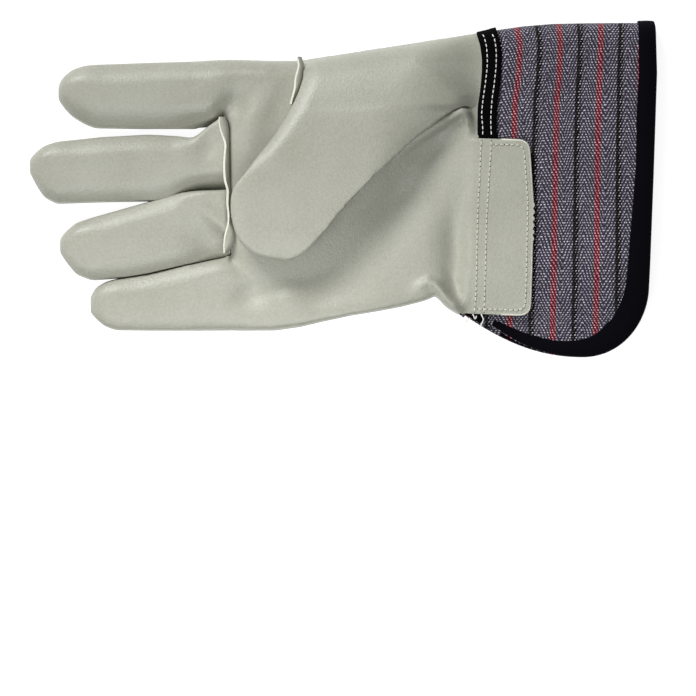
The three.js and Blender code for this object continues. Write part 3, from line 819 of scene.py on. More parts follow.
# %% [markdown]
# ## The fronts of the middle and ring fingers
#
# These two fronts are cut separately and sewn to the palm across the roots of the fingers.
# They are made as the palm is, each from its own tube, and stop at the finger seam.

# %% The two sewn-on fronts
FRONT_VOXEL = 0.8
FINGER_SEAM_GAP = 0.4


def finger_front(name):
    front = melted(f"{name}_finger_leather_skin", [finger_body(name)], FRONT_VOXEL, SMOOTHING)
    press(front, FINGER_SWELLS[name], FINGER_CREASES.get(name, ()), FINGER_PINCHES.get(name, ()))
    tucked(front, FINGER_SEAM, 2.5, 3.0)
    level_cut(front, SEAM + SIDE_GAP, upper=True)
    keep(front, lambda x, y, z: x < on_line(FINGER_SEAM, y) - FINGER_SEAM_GAP)
    snapped(front, [(x - FINGER_SEAM_GAP, y) for x, y in FINGER_SEAM])
    flared(front)
    return walled(front, LEATHER)


middle_front = finger_front("middle")
ring_front = finger_front("ring")
print("finger fronts:", len(middle_front.data.polygons), len(ring_front.data.polygons))

# %% [markdown]
# ## The fabric back and the leather fingertips
#
# The back lies on the table, so it is almost flat. It is striped cloth up to the leather
# fingertips, which reach round from the front. It is the lower part of the same bodies, cut
# below the side seams. The middle and ring fingers are melted on their own, because fingers
# that touch would otherwise grow together. Then the fingertips are parted off.

# %% The back
BACK_VOXEL = 1.2
ROOT_LINE = -50.6  # the middle and ring fingers' own bodies take over left of this x
BACK_END = 0.3  # the back ends this far before the wrist seam


def at_inner_fingers(x, y):
    """Where the hand's body reaches in between the index and little fingers."""
    return (x < ROOT_LINE) & (x > ROOT_START) & (y < ROOTS[1]) & (y > ROOTS[0])


back = melted("back_fabric_skin", glove_bodies(), BACK_VOXEL, SMOOTHING)
keep(back, lambda x, y, z: ~at_inner_fingers(x, y))
inner_fingers = [
    melted(f"{name} back", [finger_body(name)], BACK_VOXEL, SMOOTHING)
    for name in ("middle", "ring")
]
for part in inner_fingers:
    keep(part, lambda x, y, z: x < ROOT_LINE)
back = joined(back, inner_fingers)
level_cut(back, SEAM - SIDE_GAP, upper=False)
keep(back, lambda x, y, z: x < on_line(WRIST_SEAM, y) - BACK_END)
print("back faces with its fingertips:", len(back.data.polygons))

# %% Parting the fingertips off
TIP_LENGTH = 34.0
TIP_GAP = 0.4
TIP_SIDE = 0.6  # a tip's faces may lie this far outside the finger's slices


def belongs(name, x, y):
    """Which points are part of one finger's tip."""
    rows = np.array(FINGERS[name])
    top = np.interp(x, rows[:, 0], rows[:, 1]) + TIP_SIDE
    low = np.interp(x, rows[:, 0], rows[:, 2]) - TIP_SIDE
    return (x < rows[0, 0] + TIP_LENGTH) & (y < top) & (y > low)


def copied(obj, name):
    made = obj.copy()
    made.data = obj.data.copy()
    made.name = name
    bpy.context.scene.collection.objects.link(made)
    return made


fingertips = {}
for finger in FINGERS:
    tip = copied(back, f"{finger}_fingertip_skin")
    keep(tip, lambda x, y, z: belongs(finger, x, y))
    edge = FINGERS[finger][0][0] + TIP_LENGTH - TIP_GAP
    snapped(tip, [(edge, -90), (edge, 90)])
    fingertips[finger] = walled(tip, FABRIC)
for finger in FINGERS:
    keep(back, lambda x, y, z: ~belongs(finger, x, y))
    edge = FINGERS[finger][0][0] + TIP_LENGTH
    low, top = min(r[2] for r in FINGERS[finger]), max(r[1] for r in FINGERS[finger])
    snapped(back, [(edge, low), (edge, top)])
walled(back, FABRIC, raw_edge=False)
print("back faces:", len(back.data.polygons), "fingertips:", len(fingertips))

# %% [markdown]
# ## The thumb
#
# The thumb is sewn from an outer and an inner piece of leather and folds over the palm. It is
# built from ribs that run from its finger side to its wrist side, starting in the fold along
# the glove's edge and ending at its tip. Its finger side is softly rounded, while its other
# side is a crisp folded edge, which is why each rib has its own reach and fullness.

# %% Ribs of the thumb
THUMB_FLOOR = 15.7  # height of the thumb's underside over the palm
# columns: lx, ly, rx, ry, crown, left reach, right reach, edge height, fullness, floor
THUMB = [
    (-17.6, 55.6, 62.0, 67.9, 8.0, 8, 20, 7.0, 1.6, 0.0),
    (-17.6, 53.8, 62.8, 65.6, 14.0, 8, 24, 9.8, 1.3, 0.0),
    (-17.6, 50.8, 63.2, 61.6, 18.4, 8, 30, 10.6, 1.1, 0.0),
    (-17.8, 46.8, 63.2, 54.8, 21.6, 8, 36, 11.0, 1.0, 0.0),
    (-19.6, 41.0, 62.6, 45.6, 24.0, 8, 42, 11.6, 1.0, 0.0),
    (-22.4, 34.8, 60.4, 36.4, 25.6, 8, 44, 13.6, 1.0, 10.0),
    (-24.2, 31.4, 51.2, 35.3, 26.4, 8, 40, 16.8, 1.0, 12.0),
    (-26.2, 27.9, 44.0, 31.6, 27.0, 8, 34, 19.0, 1.0, 13.0),
    (-31.8, 19.8, 30.2, 20.9, 28.2, 8, 20, 23.6, 1.2, THUMB_FLOOR),
    (-37.0, 13.3, 19.8, 11.2, 28.8, 8, 10, 26.4, 1.6, THUMB_FLOOR),
    (-42.4, 6.0, 10.3, 2.6, 28.8, 8, 3, 27.8, 2.0, THUMB_FLOOR),
    (-47.2, -0.4, 2.6, -5.4, 28.8, 7, 3, 28.0, 2.0, THUMB_FLOOR),
    (-48.4, -7.6, -3.4, -12.4, 28.8, 6, 3, 28.0, 2.0, THUMB_FLOOR),
    (-47.4, -15.8, -8.4, -18.8, 28.6, 5, 3, 27.8, 2.0, THUMB_FLOOR),
    (-44.6, -22.6, -12.6, -23.6, 28.2, 4, 3, 27.4, 2.0, THUMB_FLOOR),
    (-38.6, -28.2, -16.6, -27.6, 27.6, 4, 3, 26.8, 2.0, THUMB_FLOOR),
    (-33.0, -29.8, -20.8, -30.0, 27.0, 3, 3, 26.2, 2.0, THUMB_FLOOR),
    (-29.4, -30.4, -24.4, -31.2, 26.4, 2, 2, 25.8, 2.0, THUMB_FLOOR),
]
print("ribs of the thumb:", len(THUMB))


# %% Ribs between the ribs
def between_ribs(table, steps):
    """Ribs between the ribs, along Catmull-Rom curves."""
    rows = np.array(table, float)
    ends = np.vstack([2 * rows[0] - rows[1], rows, 2 * rows[-1] - rows[-2]])
    made = []
    for i in range(1, len(ends) - 2):
        a, b, c, d = ends[i - 1], ends[i], ends[i + 1], ends[i + 2]
        for t in np.arange(steps) / steps:
            bend = (2 * a - 5 * b + 4 * c - d) * t**2
            twist = (3 * b - a - 3 * c + d) * t**3
            made.append(0.5 * (2 * b + (c - a) * t + bend + twist))
    return made + [rows[-1]]


# %% The outline of one rib
LEFT_DROP = 2.8  # the finger side's rounding reaches down this far
LIP = 0.5  # the folded edge stands up this much, over a lip so wide
LIP_WIDTH = 1.0
TUCK = 2.4  # the thumb's sides draw in by this much towards its underside,
BASE_TUCK = 0.2  # and by this much at its base
MOST_LEFT, MOST_RIGHT = 0.42, 0.56  # the roundings take no more than these shares of a rib


def thumb_rib(rib):
    lx, ly, rx, ry, crown, left, right, edge, fullness, floor = rib
    length = math.hypot(rx - lx, ry - ly)
    left, right = min(left, length * MOST_LEFT), min(right, length * MOST_RIGHT)
    share = np.linspace(0, 1, 15)
    rise = crown - edge
    left_edge = max(edge, crown - LEFT_DROP)
    left_along = left * share
    left_height = left_edge + (crown - left_edge) * (1 - (1 - share) ** 2)
    along = right * (1 - np.cos(share * math.pi / 2))
    right_height = edge + rise * (1 - (1 - along / right) ** 2) ** (1 / fullness)
    if floor > 0:
        right_height += LIP * np.exp(-((along / LIP_WIDTH) ** 2))
    middle = np.linspace(left, length - right, 30)[1:-1]
    tuck = TUCK if floor > THUMB_FLOOR - 1 else BASE_TUCK
    base = np.linspace(length - tuck, tuck, 26)
    at = np.concatenate([left_along, middle, length - along[::-1], [length - 0.1], base, [0.1]])
    height = np.concatenate([
        left_height, np.full(len(middle), crown), right_height[::-1], [(edge + floor) / 2],
        np.full(len(base), floor), [(left_edge + floor) / 2],
    ])
    share = at / length
    return np.column_stack([lx + share * (rx - lx), ly + share * (ry - ly), height])


# %% The thumb's body runs under the tape
RIB_STEPS = 7  # from one rib of the table to the next
THUMB_VOXEL = 0.75
THUMB_SMOOTHING = 2
TAPE_RUN = 12.0  # the leather runs down to the tape over this length,
TAPE_SIDE = (40.0, 54.0)  # and from here to here across the glove over more and more,
LONG_RUN = 2.4  # up to so many times as much,
RUN_BENDS = (2.0, 1.3)  # with less of a hollow
THUMB_END = 1.0  # it ends this far past the wrist seam, below the tape


def under_tape(obj):
    """At the wrist the leather runs down and ends below the tape."""
    points = places(obj)
    x, y, z = points.T
    run = np.interp(y, TAPE_SIDE, (TAPE_RUN, LONG_RUN * TAPE_RUN))
    bend = np.interp(y, TAPE_SIDE, RUN_BENDS)
    share = np.clip((x - on_line(WRIST_SEAM, y) + run) / run, 0, 1) ** bend
    below = np.minimum(z, cuff_top(x, y) + LEATHER_UNDER_TAPE)
    points[:, 2] = z + share * (below - z)
    put(obj, points)


thumb_body = lofted("thumb", [thumb_rib(rib) for rib in between_ribs(THUMB, RIB_STEPS)])
thumb = melted("thumb_leather_skin", [thumb_body], THUMB_VOXEL, THUMB_SMOOTHING)
under_tape(thumb)
keep(thumb, lambda x, y, z: x < on_line(WRIST_SEAM, y) + THUMB_END)

# %% The thumb's two pieces
THUMB_SEAM = 18.2  # height of the thumb's own side seam
SEAM_TURN = (36.0, 0.27)  # past this x it runs down towards the wrist, so steeply
FOLD_LINE = 37.6  # past this y the thumb's leather is all one piece, folded over the glove's edge
SLIVER = 0.3  # cuts leave no edge shorter than this
HIDDEN_BELOW = 12.0  # below this height the folded piece isn't made,
HIDDEN_TO = (-17.0, 44.0, 0.14)  # up to a line in plan: its x, y and slope


def outer_part(x, y, z):
    start, fall = SEAM_TURN
    return (z > THUMB_SEAM - fall * np.maximum(x - start, 0)) | (y > FOLD_LINE)


def in_sight(x, y, z):
    """Leaves out what the fold hides inside the glove."""
    line_x, line_y, slope = HIDDEN_TO
    return (y < FOLD_LINE) | (z > HIDDEN_BELOW) | (y > line_y + slope * (x - line_x))


for point, normal in (
    ((0, 0, THUMB_SEAM), (0, 0, 1)),
    ((SEAM_TURN[0], 0, THUMB_SEAM), (SEAM_TURN[1], 0, 1)),
    ((0, FOLD_LINE, 0), (0, 1, 0)),
):
    edit(thumb, lambda mesh: cut_along(mesh, point, normal))
level_cut(thumb, SEAM + SIDE_GAP, upper=True)
thumb_inner = copied(thumb, "thumb_inner_leather_skin")
keep(thumb, outer_part)
edit(thumb, lambda mesh: bmesh.ops.remove_doubles(mesh, verts=mesh.verts, dist=SLIVER * MM))
keep(thumb, in_sight)
keep(thumb_inner, lambda x, y, z: ~outer_part(x, y, z))
flared(thumb)
for piece in (thumb, thumb_inner):
    walled(piece, LEATHER)
print("thumb faces:", len(thumb.data.polygons), len(thumb_inner.data.polygons))

# %% [markdown]
# ## Raw seam strips
#
# Where the fingers and the thumb are sewn on, the leather's cut edges stand out of the seam
# as a narrow wavy flap with a pale raw rim. Each is a ribbon through a short table: its free
# edge on the left stands higher than its sewn edge on the right.

# %% The two welts
# columns: y, free edge x, sewn edge x
FINGER_WELT = [
    (31.2, -52.6, -51.6), (30.4, -54.2, -50.8), (25.4, -53.4, -49.6), (19.0, -51.2, -49.5),
    (13.6, -51.8, -49.5), (7.5, -51.9, -49.5), (3.3, -51.6, -49.4), (-0.3, -50.4, -48.8),
    (-6.7, -50.6, -49.3), (-10.6, -50.0, -49.1), (-14.8, -50.0, -48.4), (-19.9, -51.4, -46.8),
    (-23.4, -51.8, -47.2), (-25.8, -51.9, -49.0), (-27.6, -51.6, -50.4),
]
THUMB_WELT = [
    (56.6, -20.4, -18.6), (55.0, -20.3, -17.9), (53.5, -19.5, -17.4), (50.2, -20.3, -17.6),
    (46.9, -21.3, -17.9), (43.3, -21.4, -18.9), (39.7, -22.4, -20.3), (37.4, -23.1, -21.4),
    (36.1, -23.4, -22.0),
]
print("rows of the two welts:", len(FINGER_WELT), len(THUMB_WELT))

# %% A strip for a seam
WELT_THICK = 1.1
WELT_STEP = 0.4
WELT_EASE = 4  # steps to either side that the edges are averaged over
WELT_RIPPLE = 0.1
ROOT_DEPTH = 2.6  # the sewn edge reaches this far down into the seam
RAW_SIDES = (4, 5, 6)  # sides of a strip's section that are cut leather


def seam_strip(name, table, sewn_heights, raw_widths, free_height):
    """A ribbon along y, with ten points in each section: over its top and back below it."""
    ys, free, sewn = np.array(table[::-1], float).T
    steps = np.arange(ys[0], ys[-1], WELT_STEP)
    edges = np.column_stack([np.interp(steps, ys, free), np.interp(steps, ys, sewn)])
    rings = []
    for y, (left, right) in zip(steps, averaged(edges, WELT_EASE, mode="edge")):
        lift = free_height + WELT_RIPPLE * math.sin(y * 0.8)
        sewn_height = np.interp(y, *np.transpose(sewn_heights))
        raw = np.interp(y, *np.transpose(raw_widths))
        middle, middle_height = (left + right) / 2, (sewn_height + lift) / 2
        rings.append([
            (right + 0.3, y, sewn_height - ROOT_DEPTH), (right + 0.1, y, sewn_height - 1.4),
            (right - 0.5, y, sewn_height), (middle, y, middle_height + 0.3),
            (left + raw, y, lift), (left, y, lift - 0.35), (left, y, lift - WELT_THICK),
            (left + 0.3, y, lift - WELT_THICK - 0.2), (middle, y, middle_height - WELT_THICK),
            (right - 1.0, y, sewn_height - ROOT_DEPTH),
        ])
    strip = lofted(name, rings)
    for face in strip.data.polygons:
        if len(face.vertices) == 4 and face.index % len(rings[0]) in RAW_SIDES:
            face.material_index = 1
    return strip


# %% Sewing them in
# columns: y, height of the sewn edge
FINGER_SEWN = [(-28.0, 14.8), (-17.0, 15.6), (-12.0, 14.6), (0.0, 14.8), (32.0, 15.2)]
THUMB_SEWN = [(36.0, 16.6), (57.0, 16.9)]
# columns: y, width of the raw rim
FINGER_RAW = [
    (-28.0, 0.5), (-20.0, 0.6), (-8.0, 0.9), (2.0, 1.0), (10.0, 0.8), (19.0, 0.9), (26.0, 0.55),
    (31.0, 0.4),
]
THUMB_RAW = [(36.0, 0.9), (46.0, 0.7), (57.0, 0.6)]
FINGER_FREE, THUMB_FREE = 15.9, 17.6  # heights of the free edges
finger_welt = seam_strip("finger_seam_strip", FINGER_WELT, FINGER_SEWN, FINGER_RAW, FINGER_FREE)
thumb_welt = seam_strip("thumb_seam_strip", THUMB_WELT, THUMB_SEWN, THUMB_RAW, THUMB_FREE)
print("seam strips' faces:", len(finger_welt.data.polygons), len(thumb_welt.data.polygons))

# %% [markdown]
# ## The cuff
#
# The cuff is one sheet of stiff striped cloth, folded along the thumb side and open along the
# little-finger side, with a big round corner at the hem. It is a grid whose rows run from the
# wrist seam to the hem, so the rows end exactly on the cut edge. Its UV map holds the cloth's
# own measures in metres, which lets the woven stripes follow the bow that the wrist seam
# pulls into them.

# %% The cuff's cut edge
HEM = [(134.2, 90.0), (134.2, 64.0), (134.6, 50.0), (133.1, 5.0), (131.2, -44.0)]
CORNER = [(131.2, -44.0), (130.4, -57.0), (121.0, -71.6), (104.0, -72.4)]
SLIT = [(104.0, -72.4), (89.0, -72.6), (75.0, -68.6), (60.6, -59.4)]
SLIT_END = (50.2, -52.6)
FRONT_SLIT_SHIFT = (0.6, 2.0)  # how far the front layer's slit stands back from the back layer's,
SLIT_SHIFTS = (96.0, 30.0)  # from this x on, over this much
CUFF_START = 0.4  # the cloth starts this far past the wrist seam


def bezier(corners, steps=40):
    a, b, c, d = np.array(corners, float)
    t = np.linspace(0, 1, steps)[:, None]
    return a * (1 - t) ** 3 + 3 * b * (1 - t) ** 2 * t + 3 * c * (1 - t) * t**2 + d * t**3


def cut_edge(front):
    """The cuff's cut edge in plan, from the slit's start round to the hem at the fold."""
    slit = bezier(SLIT)[::-1]
    if front:
        start, run = SLIT_SHIFTS
        share = np.clip((start - slit[:, 0]) / run, 0, 1)[:, None]
        slit = slit + share * share * np.array(FRONT_SLIT_SHIFT)
    return np.vstack([[SLIT_END], slit, bezier(CORNER)[::-1][1:], np.array(HEM[::-1])[1:]])


def edge_sides(front):
    """The left and right ends of a row of the cuff at height y in plan."""
    edge = cut_edge(front)
    low = edge[:, 1].argmin()
    left, right = edge[: low + 1][::-1], edge[low:]
    right = right[np.argsort(right[:, 1], kind="stable")]

    def ends(y):
        start = np.where(y < left[-1, 1], np.interp(y, left[:, 1], left[:, 0]), -FAR)
        start = np.maximum(start, on_line(WRIST_SEAM, y) + CUFF_START)
        return start, np.interp(y, right[:, 1], right[:, 0])

    return ends, edge[low, 1]


print("lowest y of the cuff's cut edge in mm:", round(float(cut_edge(False)[:, 1].min()), 1))

# %% The cuff's way round the fold
CUFF_FLOOR = 1.3  # height of the back layer's inner face
BACK_SHOULDER = 4.0  # the back layer rounds towards the fold over this much
NEAR_FOLD = 60.0  # y at which the front layer's height is taken for the fold


def cuff_profile(x, fold_share, back):
    """Height and y offset from the fold for the round part of the cuff."""
    turn = fold_share * math.pi / 2
    if not back:
        rise = cuff_height(x, NEAR_FOLD) - SEAM
        return -CUFF_SHOULDER * (1 - np.cos(turn)), SEAM + rise * np.sin(turn)
    return -BACK_SHOULDER * (1 - np.cos(turn)), SEAM - (SEAM - CUFF_FLOOR) * np.sin(turn)


# %% The cuff's rows
CUFF_COLUMNS = 64
CUFF_ROWS = 112  # on the flat part of each layer,
CROWDING = 1.35  # closer together near the round corner
FOLD_ROWS = {False: 16, True: 10}  # round the fold, on the front and on the back
EDGE_INSET = 0.9  # the cloth ends this far inside the binding's outer edge
# A row takes its ends from the cut edge at the y that it would have if the fold were straight:
# this is the straight fold's y for the flat rows, and the y for the rows round the fold.
FLAT_FOLD, FOLD_END = 71.1, 71.0


def cuff_rows():
    """Rows of (x, y, z) from the front's open edge over the fold to the back's open edge."""
    rows = []
    columns = np.linspace(0, 1, CUFF_COLUMNS)
    for back in (False, True):
        ends, lowest = edge_sides(not back)
        reach = BACK_SHOULDER if back else CUFF_SHOULDER
        made = []
        for t in np.linspace(0, 1, CUFF_ROWS) ** CROWDING:
            nominal = lowest + EDGE_INSET + (FLAT_FOLD - reach - lowest - EDGE_INSET) * t
            left, right = ends(nominal)
            x = left + (right - EDGE_INSET - left) * columns
            y = lowest + EDGE_INSET + (cuff_fold(x) - reach - lowest - EDGE_INSET) * t
            z = np.full_like(x, CUFF_FLOOR) if back else cuff_height(x, y)
            made.append(np.column_stack([x, y, z]))
        left, right = ends(np.array(FOLD_END))
        x = left + (right - EDGE_INSET - left) * columns
        for share in np.linspace(1, 0, FOLD_ROWS[back])[1:]:
            offset, z = cuff_profile(x, share, back)
            made.append(np.column_stack([x, cuff_fold(x) + offset, z * np.ones_like(x)]))
        rows += made if not back else made[::-1][1:]
    return rows


# %% The cloth's waves
WAVES = (0.35, 0.2)  # heights of the slanted waves and of the straight ones


def cloth_ripple(points):
    """The front layer isn't quite flat between its seams."""
    x, y, z = points.T
    slanting, straight = WAVES
    wave = slanting * np.sin(x / 6.3 + y / 21) * np.sin(y / 17.0) + straight * np.sin(y / 8.1)
    lift = points.copy()
    lift[:, 2] += np.where(z > SEAM + 4, wave, 0) * np.clip((z - SEAM - 4) / 3, 0, 1)
    return lift


cuff_grid = [cloth_ripple(row) for row in cuff_rows()]
print("cuff grid:", len(cuff_grid), "rows of", CUFF_COLUMNS)

# %% Stripes that follow the wrist seam's bow
STRIPE_PERIOD = 18.5
FIRST_STRIPE = 71.2  # where the first red stripe lies in the cloth's own measure
# columns: y, x of the first red stripe, x of the third red stripe
STRIPE_BOW = [
    (-72, 71.3, 108.5), (-56, 71.4, 108.5), (-20, 72.2, 108.7), (22, 73.1, 109.1),
    (38, 73.6, 109.5), (48, 75.0, 109.8), (62, 75.7, 110.3), (69, 74.6, 110.5), (72, 74.2, 110.6),
]


def stripe_place(x, y):
    """The cloth's own measure across its stripes."""
    table = np.array(STRIPE_BOW, float)
    first = np.interp(y, table[:, 0], table[:, 1])
    third = np.interp(y, table[:, 0], table[:, 2])
    share = (x - first) / (third - first)
    return FIRST_STRIPE + share * 2 * STRIPE_PERIOD


# %% The cuff's sheet
def cloth_grid(name, grid):
    """A sheet from a grid of points, with a UV map in the cloth's own metres."""
    rows, columns = len(grid), len(grid[0])
    faces = [
        (r * columns + c, r * columns + c + 1, (r + 1) * columns + c + 1, (r + 1) * columns + c)
        for r in range(rows - 1) for c in range(columns - 1)
    ]
    points = np.concatenate(grid)
    sheet = mesh_object(name, points, faces)
    middle = np.array([row[columns // 2] for row in grid])
    run = np.concatenate([[0], np.cumsum(np.linalg.norm(np.diff(middle, axis=0), axis=1))])
    across = stripe_place(points[:, 0], points[:, 1])
    down = np.repeat(run, columns)
    uv = sheet.data.uv_layers.new(name="cloth")
    for loop in sheet.data.loops:
        uv.data[loop.index].uv = (across[loop.vertex_index] * MM, down[loop.vertex_index] * MM)
    return sheet


cuff = cloth_grid("cuff_cloth", cuff_grid)
walled(cuff, FABRIC, raw_edge=False)

# %% [markdown]
# ## The binding and the wrist tape
#
# Both are narrow woven bands. The binding is folded over the cuff's cut edge along the hem,
# round the corner and up the slit, on both layers, so it is a U-shaped section swept along
# that edge. The tape is a flat band round the wrist, over the seam between leather and cuff.
# A sweep along a worked-out path keeps a band's true width everywhere, as on a real tape.

# %% Sweeping a section
def swept(name, path, section):
    """A closed section swept along a path of (point, outward, inward) rows."""
    rings = []
    for point, outward, inward in path:
        shape = section(point) if callable(section) else section
        rings.append(np.array([point + inward * u + outward * w for u, w in shape]))
    return lofted(name, rings)


def spaced(points, step):
    """Points at even steps along a line of points."""
    points = np.asarray(points, float)
    run = np.concatenate([[0], np.cumsum(np.linalg.norm(np.diff(points, axis=0), axis=1))])
    at = np.linspace(0, run[-1], max(2, int(run[-1] / step) + 1))
    return np.column_stack([np.interp(at, run, column) for column in points.T])


def unit(v):
    return v / np.linalg.norm(v)


def eased(vectors, reach):
    """Neighbouring directions averaged, so that a band turns smoothly."""
    made = averaged(vectors, reach, mode="edge")
    return made / np.linalg.norm(made, axis=1)[:, None]


def round_fold(x, share, back):
    """Place across, height and outward direction, a share of the way round the cuff's fold."""
    offset, z = cuff_profile(np.array(x), share, back)
    turn = share * math.pi / 2
    outward = np.array([0, math.cos(turn), math.sin(turn) * (-1 if back else 1)])
    return float(cuff_fold(x)) + float(offset), float(z), outward


# %% The binding's path
BINDING_STEP = 1.2
FRONT_BINDING_START = 62.5
BACK_BINDING_START = 66.5
HEM_X = 134.2  # the hem's place at the fold


def layer_path(front):
    """The cut edge of one layer as (point, outward, inward), up to where the fold begins."""
    edge = cut_edge(front)
    stop = cuff_fold(HEM_X) - (CUFF_SHOULDER if front else BACK_SHOULDER)
    start = FRONT_BINDING_START if front else BACK_BINDING_START
    edge = spaced(edge[(edge[:, 1] <= stop) & (edge[:, 0] >= start)], BINDING_STEP)
    edge = np.vstack([edge, [on_line(HEM, stop), stop]])
    way = eased(np.gradient(edge, axis=0), 2)
    rows = []
    for (x, y), (along_x, along_y) in zip(edge, way):
        z = cuff_height(x, y) if front else CUFF_FLOOR
        outward = np.array([0, 0, 1.0 if front else -1.0])
        rows.append((np.array([x, y, z]), outward, np.array([-along_y, along_x, 0])))
    return rows


def fold_path():
    """The hem's way round the fold between the two layers."""
    rows = []
    shares = {False: np.linspace(1, 0, 12)[1:], True: np.linspace(1, 0, 8)[-2:0:-1]}
    for back in (False, True):
        for share in shares[back]:
            y, z, outward = round_fold(HEM_X, share, back)
            rows.append((np.array([HEM_X, y, z]), outward, np.array([-1.0, 0, 0])))
    return rows


binding_path = layer_path(True) + fold_path() + layer_path(False)[::-1]
print("points of the binding's path:", len(binding_path))

# %% The binding
# columns: x along the slit, width; and y along the hem, width
SLIT_WIDTHS = [
    (62.0, 2.4), (65.0, 3.0), (71.0, 4.2), (81.0, 5.6), (94.0, 6.4), (108.0, 8.6), (120.0, 11.2),
]
HEM_WIDTHS = [
    (-62.0, 11.4), (-52.0, 11.2), (-39.0, 10.0), (-16.0, 9.0), (9.5, 7.9), (30.5, 8.3), (70.0, 7.5),
]
HEM_FROM = 120.0  # past this x it is the hem
BINDING = 0.95  # thickness of the binding
PLAY = 0.12  # between the binding and the cloth, and the binding's crown


def binding_section(point):
    """The U over the cloth's edge, from its outer face round to its inner one."""
    x, y, _ = point
    on_hem = x > HEM_FROM
    table = np.array(HEM_WIDTHS if on_hem else SLIT_WIDTHS)
    width = float(np.interp(y if on_hem else x, *table.T))
    over, under = BINDING, -FABRIC - BINDING
    return [
        (width, PLAY), (width, over - 0.2), (width - 0.4, over), (width * 0.5, over + PLAY),
        (1.2, over), (0.4, over - 0.3), (0.0, (over + under) / 2), (0.4, under + 0.3),
        (1.2, under), (width - 0.4, under), (width, under + 0.2), (width, -FABRIC - PLAY),
        (EDGE_INSET, -FABRIC - PLAY), (EDGE_INSET, PLAY),
    ]


binding = swept("cuff_binding", binding_path, binding_section)
print("binding faces:", len(binding.data.polygons))

# %% The wrist tape's path
TAPE_START = 0.05  # it starts this far past the wrist seam
TAPE_MIDDLE = 61.5  # its middle where it crosses the fold
TAPE_STEP = 1.25
HEIGHT_LOOK = 4.0  # the cuff's height is taken this far inside the tape's left edge
FRONT_RUN = (-57.5, 57.5)  # from y, to y, on the front layer
BACK_RUN = (60.0, -57.0)  # and on the back layer


def tape_point(y, z):
    """A point of the tape's left edge, which follows the wrist seam."""
    return np.array([float(on_line(WRIST_SEAM, y)) + TAPE_START, y, z])


def tape_path():
    """The tape's left edge: over the front layer, round the fold and back below."""
    rows = []
    across = np.array([1.0, 0, 0])
    for y in np.arange(*FRONT_RUN, TAPE_STEP):
        point = tape_point(y, TAPE_LIFT)
        point[2] += float(cuff_height(point[0] + HEIGHT_LOOK, y))
        rows.append((point, np.array([0, 0, 1.0]), across))
    shares = {False: np.linspace(1, 0, 12)[:-1], True: np.linspace(0, 1, 10)}
    for back in (False, True):
        for share in shares[back]:
            y, z, outward = round_fold(TAPE_MIDDLE, share, back)
            rows.append((tape_point(y, z) + outward * TAPE_LIFT, outward, across))
    for y in np.arange(*BACK_RUN, -TAPE_STEP):
        rows.append((tape_point(y, CUFF_FLOOR - TAPE_LIFT), np.array([0, 0, -1.0]), across))
    return rows


tape_way = tape_path()
print("points of the tape's path:", len(tape_way))

# %% The wrist tape
TAPE = 0.9  # its thickness
TAPE_WIDTH = 8.3
TAPE_SECTION = [
    (0.0, 0.0), (0.0, TAPE * 0.7), (0.35, TAPE), (2.2, TAPE + 0.05), (4.4, TAPE - 0.05),
    (6.6, TAPE + 0.05), (TAPE_WIDTH - 0.35, TAPE), (TAPE_WIDTH, TAPE * 0.7), (TAPE_WIDTH, 0.0),
]
TAPE_CUT = ((50.6, -53.2), (62.6, -60.0))  # its two ends are cut along this line
TAPE_SLANT = (48.0, 12.0)  # above this y, over this much, it starts to follow the slant of the fold


def trimmed(mesh):
    """Cuts both ends off along one line and closes them."""
    (ax, ay), (bx, by) = TAPE_CUT
    cut = cut_along(mesh, (ax, ay, 0), (by - ay, ax - bx, 0), clear_outer=True)
    rims = [e for e in cut["geom_cut"] if isinstance(e, bmesh.types.BMEdge)]
    bmesh.ops.edgenet_fill(mesh, edges=rims)
    bmesh.ops.recalc_face_normals(mesh, faces=mesh.faces)


def slanted(obj):
    """Lets the band follow the fold, which isn't square to it."""
    points = places(obj)
    start, run = TAPE_SLANT
    share = np.clip((points[:, 1] - start) / run, 0, 1)
    points[:, 1] += share * (cuff_fold(points[:, 0]) - cuff_fold(TAPE_MIDDLE))
    put(obj, points)


tape = swept("wrist_tape_band", tape_way, TAPE_SECTION)
edit(tape, trimmed)
slanted(tape)
print("tape faces:", len(tape.data.polygons))

# %% [markdown]
# ## Stitches
#
# The tape is held by two rows of white lockstitch, and the same two rows run on down the pulse
# patch in thread of the leather's colour, with a third row inside the patch's edge. Each stitch
# is a small grain-shaped body. One is modelled, and every row is that body copied along a line
# that is dropped onto the surface below it.

# %% One stitch
STITCH_LONG = 1.75
STITCH_WIDE = 0.54
STITCH_PITCH = 2.2
STITCH_DIP = 0.1  # its ends dip into the leather
SIX_WAYS = np.linspace(0, 2 * math.pi, 7)[:-1]  # angles of a ring of six points


def stitch_shape():
    """A grain with pointed ends: rings of six points along its length."""
    rings = []
    for t in np.linspace(-1, 1, 7):
        girth = math.sqrt(max(0.06, 1 - t**4)) * STITCH_WIDE / 2
        rings.append(np.array([
            (t * STITCH_LONG / 2, girth * math.cos(a), girth * math.sin(a) - STITCH_DIP * t * t)
            for a in SIX_WAYS
        ]))
    return rings


print("rings of one stitch:", len(stitch_shape()))


# %% Finding the surface below a point
def surface_of(*objects):
    return [BVHTree.FromObject(o, bpy.context.evaluated_depsgraph_get()) for o in objects]


def dropped(trees, x, y):
    """The highest point and normal of some surfaces above (x, y), in millimetres."""
    best = None
    for tree in trees:
        point, normal, _, _ = tree.ray_cast(Vector((x * MM, y * MM, 0.1)), Vector((0, 0, -1)))
        if point is not None and (best is None or point.z > best[0].z):
            best = (point, normal)
    return (np.array(best[0]) / MM, np.array(best[1])) if best else (None, None)


# %% Rows of stitches
SINK = 0.12  # how far a stitch sinks into the surface


